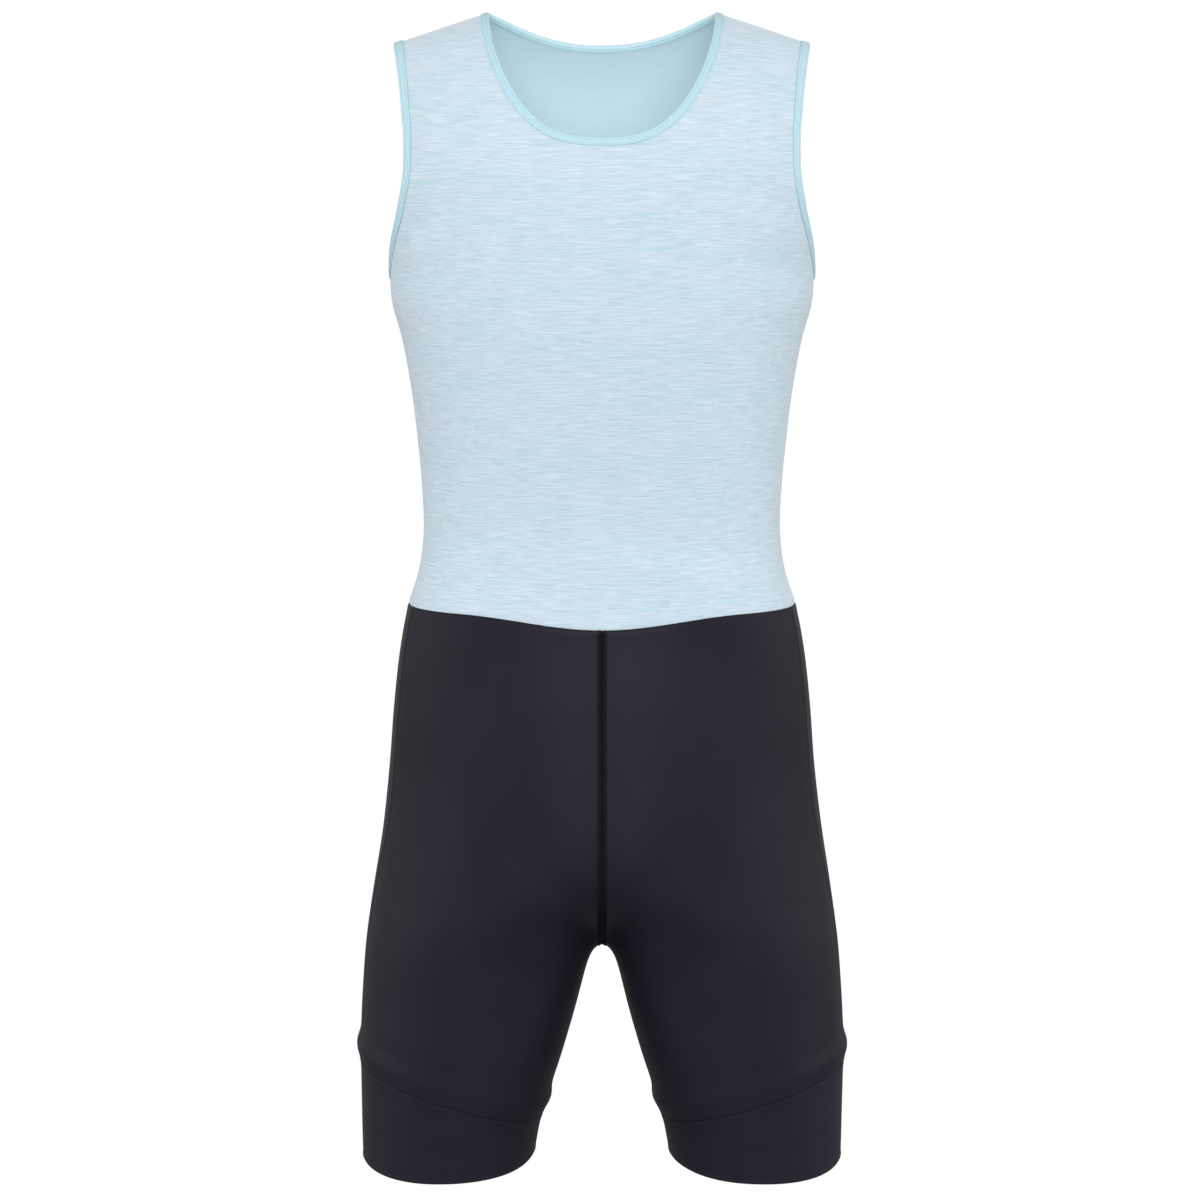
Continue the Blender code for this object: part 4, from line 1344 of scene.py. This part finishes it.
def onPatch(patch, along, across):
    # a bilinear reading of the patch at lengths along and across it
    grid, out, length, offsets = patch
    (i, s), (j, t) = cellOf(along, length), cellOf(across, offsets)

    def read(values):
        near = values[i, j] * (1 - t) + values[i, j + 1] * t
        return near * (1 - s) + (values[i + 1, j] * (1 - t) + values[i + 1, j + 1] * t) * s

    return read(grid), unit(read(out))


def makeFlatlock(side):
    # a zigzag from side to side, eased by a sine, with rows of straight stitches over it
    patch = seamPatch(side)
    first, last = flatlock["startsBelow"], patch[2][-1] - flatlock["stopsShort"]
    stops = np.arange(first, last, flatlock["pitch"] / flatlock["swings"])
    swing = np.abs((stops / flatlock["pitch"] % 1) * 4 - 2) - 1
    line, out = onPatch(patch, stops, flatlock["half"] * np.sin(swing * np.pi / 2))
    threads = [thread(line, out, flatlock["radius"], flatlock["lift"])]
    stops = np.arange(first, last, flatlock["rowStep"])
    hop = flatlock["rowHop"] * flatlock["rowRadius"] * np.abs(np.sin(np.pi * stops / flatlock["rowStitch"]))
    for row in flatlock["rows"]:
        line, out = onPatch(patch, stops, np.full(stops.shape, row))
        threads.append(thread(line, out, flatlock["rowRadius"], flatlock["radius"] + hop))
    points, faces = together(threads)
    return makePiece(f"middle_{side}_flatlock", points, faces, materials["coverThread"])


seamThread = {
    "step": 1.25 * mm,
    "stitch": 2.5 * mm,
    "hop": 0.08 * mm,
    "pale": (0.3 * mm, -0.1 * mm),  # radius, and place of its middle above the groove's
    # raised out of the groove, so that its painted shadow line shows
    "dark": (0.5 * mm, 0.4 * mm),
}


def makeSeamThread(seamName, kind):
    # a thread that fills the groove of a plain seam, with a small hop at each stitch; out of the
    # cloth is away from the axis of the leg, or from that of the body
    radius, above = seamThread[kind]
    line, stops = resampled(seams[seamName], seamThread["step"])
    axis = 0.0 if seamName in ("shoulder", "side") else measure("axis", -line[:, 2])
    along = unit(np.gradient(line, axis=0))
    out = unit(np.stack([line[:, 0] - axis, line[:, 1], 0 * line[:, 2]], axis=1))
    out = unit(out - along * (out * along).sum(1, keepdims=True))
    hop = seamThread["hop"] * np.cos(2 * np.pi * stops / seamThread["stitch"])
    threads = []
    for hand in (1, -1):
        own = mirrored(line, hand)
        threads.append(thread(own, mirrored(out, hand), radius, reliefAt(own) + above + hop))
    points, faces = together(threads)
    return makePiece(f"{seamName}_seam_thread", points, faces, materials[f"{kind}Thread"])


sewing = {side: dress(makeFlatlock(side), None) for side in ("front", "back")}
for seamName in ("shoulder", "side"):
    sewing[seamName] = dress(makeSeamThread(seamName, "pale"), None)
# these seams take the near-black thread, partly a painted shadow line
for seamName in ("waist", "hip", "inseam", "band"):
    sewing[seamName] = dress(makeSeamThread(seamName, "dark"), None)
print("seams sewn")

cuts = {
    # each sheet as it was cut: width, length and area, in mm and square mm
    "bodice_front": (412, 487, 144600),
    "bodice_back": (409, 487, 152500),
    "shorts_front": (238, 392, 69400),
    "shorts_back": (283, 400, 92600),
    "leg_band": (439, 74.5, 24000),
    "neck": (14, 590, None),
    "armhole": (16, 450, None),
}


def declare(piece, cut):
    # reads the width, length and area of the flat cut that a sheet is made of; nothing is kept
    width, length, area = cuts[cut]
    area = None if area is None else area * mm * mm


for node, panel in panels.items():
    cut = node if node in cuts else node.rsplit("_", 1)[0]
    declare(panel, cut)
for cut, (strip, stitches) in zip(("neck", "armhole", "armhole"), bindings):
    declare(strip, cut)

studio = {
    "cameraPlace": (-0.0015, -2.8, -0.094),
    "cameraAim": (-0.0015, 0.0, -0.434),
    "lens": 112.8,
    "sensor": 36.0,
    "clipEnd": 200.0,
    "floorLevel": -1.6,
    "floorHalf": 30.0,
    # soft light all round: its colour from in front, then the colour from each other way, and where
    # along that way it starts and is full
    "front": (0.97, 0.97, 0.99),
    "sides": ((2.40, 2.40, 2.44), 0.3, 0.8),
    "above": ((0.56, 0.56, 0.58), 0.2, 0.8),
    "behind": ((0.56, 0.51, 0.46), 0.0, 0.6),
    "below": ((0.20, 0.20, 0.21), -0.05, 0.4),
    # place, aim, size and power; the fill is light that comes through the thin front of the bodice
    "key": ((0.12, -3.3, 0.2), (0, 0, -0.4), 1.4, 48.0),
    "fill": ((0.0, -0.05, -0.15), (0.0, 0.1, -0.06), 0.2, 0.055),
}
white = (1.0, 1.0, 1.0, 1.0)


def aimed(thing, place, aim):
    # its -Z looks from place to aim
    thing.location = place
    thing.rotation_euler = (Vector(aim) - Vector(place)).to_track_quat("-Z", "Y").to_euler()


def makeCamera():
    # level with the top of the chest, and far off, as in the photo
    data = bpy.data.cameras.new("camera")
    data.lens = studio["lens"]
    data.sensor_width = studio["sensor"]
    data.clip_end = studio["clipEnd"]
    camera = addObject("camera", data)
    aimed(camera, studio["cameraPlace"], studio["cameraAim"])
    bpy.context.scene.camera = camera


def makeFloor():
    # a white floor that melts into the white backdrop and throws no light back
    half, level = studio["floorHalf"], studio["floorLevel"]
    corners = [(-half, -half, level), (half, -half, level), (half, half, level), (-half, half, level)]
    constants = {"Roughness": 0.9, "Specular IOR Level": 0.0, "Base Color": (0.0, 0.0, 0.0, 1.0)}
    constants.update({"Emission Color": white, "Emission Strength": 1.0})
    floor = makePiece("floor", corners, [(0, 1, 2, 3)], newMaterial("pale_floor", constants)[0])
    floor.visible_diffuse = floor.visible_glossy = floor.visible_transmission = floor.visible_shadow = False


def makeLight(name, place, aim, size, power):
    # a round area light that the camera does not see
    data = bpy.data.lights.new(name, "AREA")
    data.shape = "DISK"
    data.size = size
    data.energy = power
    light = addObject(name, data)
    aimed(light, place, aim)
    light.visible_camera = False


def makeWorld():
    # white where the camera looks past the suit; the light that falls on it depends on where from
    world = bpy.data.worlds.new("studio")
    world.use_nodes = True
    tree = world.node_tree
    direction = addNode(tree, "ShaderNodeTexCoord", output=0)
    across, ahead, up = (
        addNode(tree, "ShaderNodeSeparateXYZ", {}, {0: direction}, output=k) for k in range(3)
    )
    colour = (*studio["front"], 1.0)
    axes = {"sides": across * across, "above": up, "behind": ahead, "below": -1.0 * up}
    for name, axis in axes.items():
        glow, start, full = studio[name]
        colour = mixed(tree, ramp(tree, axis, start, full), colour, (*glow, 1.0))
    light = addNode(tree, "ShaderNodeBackground", {}, {0: colour})
    backdrop = addNode(tree, "ShaderNodeBackground", {}, {0: white})
    seen = addNode(tree, "ShaderNodeLightPath")
    both = addNode(tree, "ShaderNodeMixShader", {}, {0: seen, 1: light, 2: backdrop})
    tree.links.new(both.socket, tree.nodes["World Output"].inputs["Surface"])
    bpy.context.scene.world = world


makeCamera()
makeFloor()
makeWorld()
for name in ("key", "fill"):
    makeLight(f"{name}_light", *studio[name])
bpy.context.scene.view_settings.view_transform = "Standard"
print("studio ready")
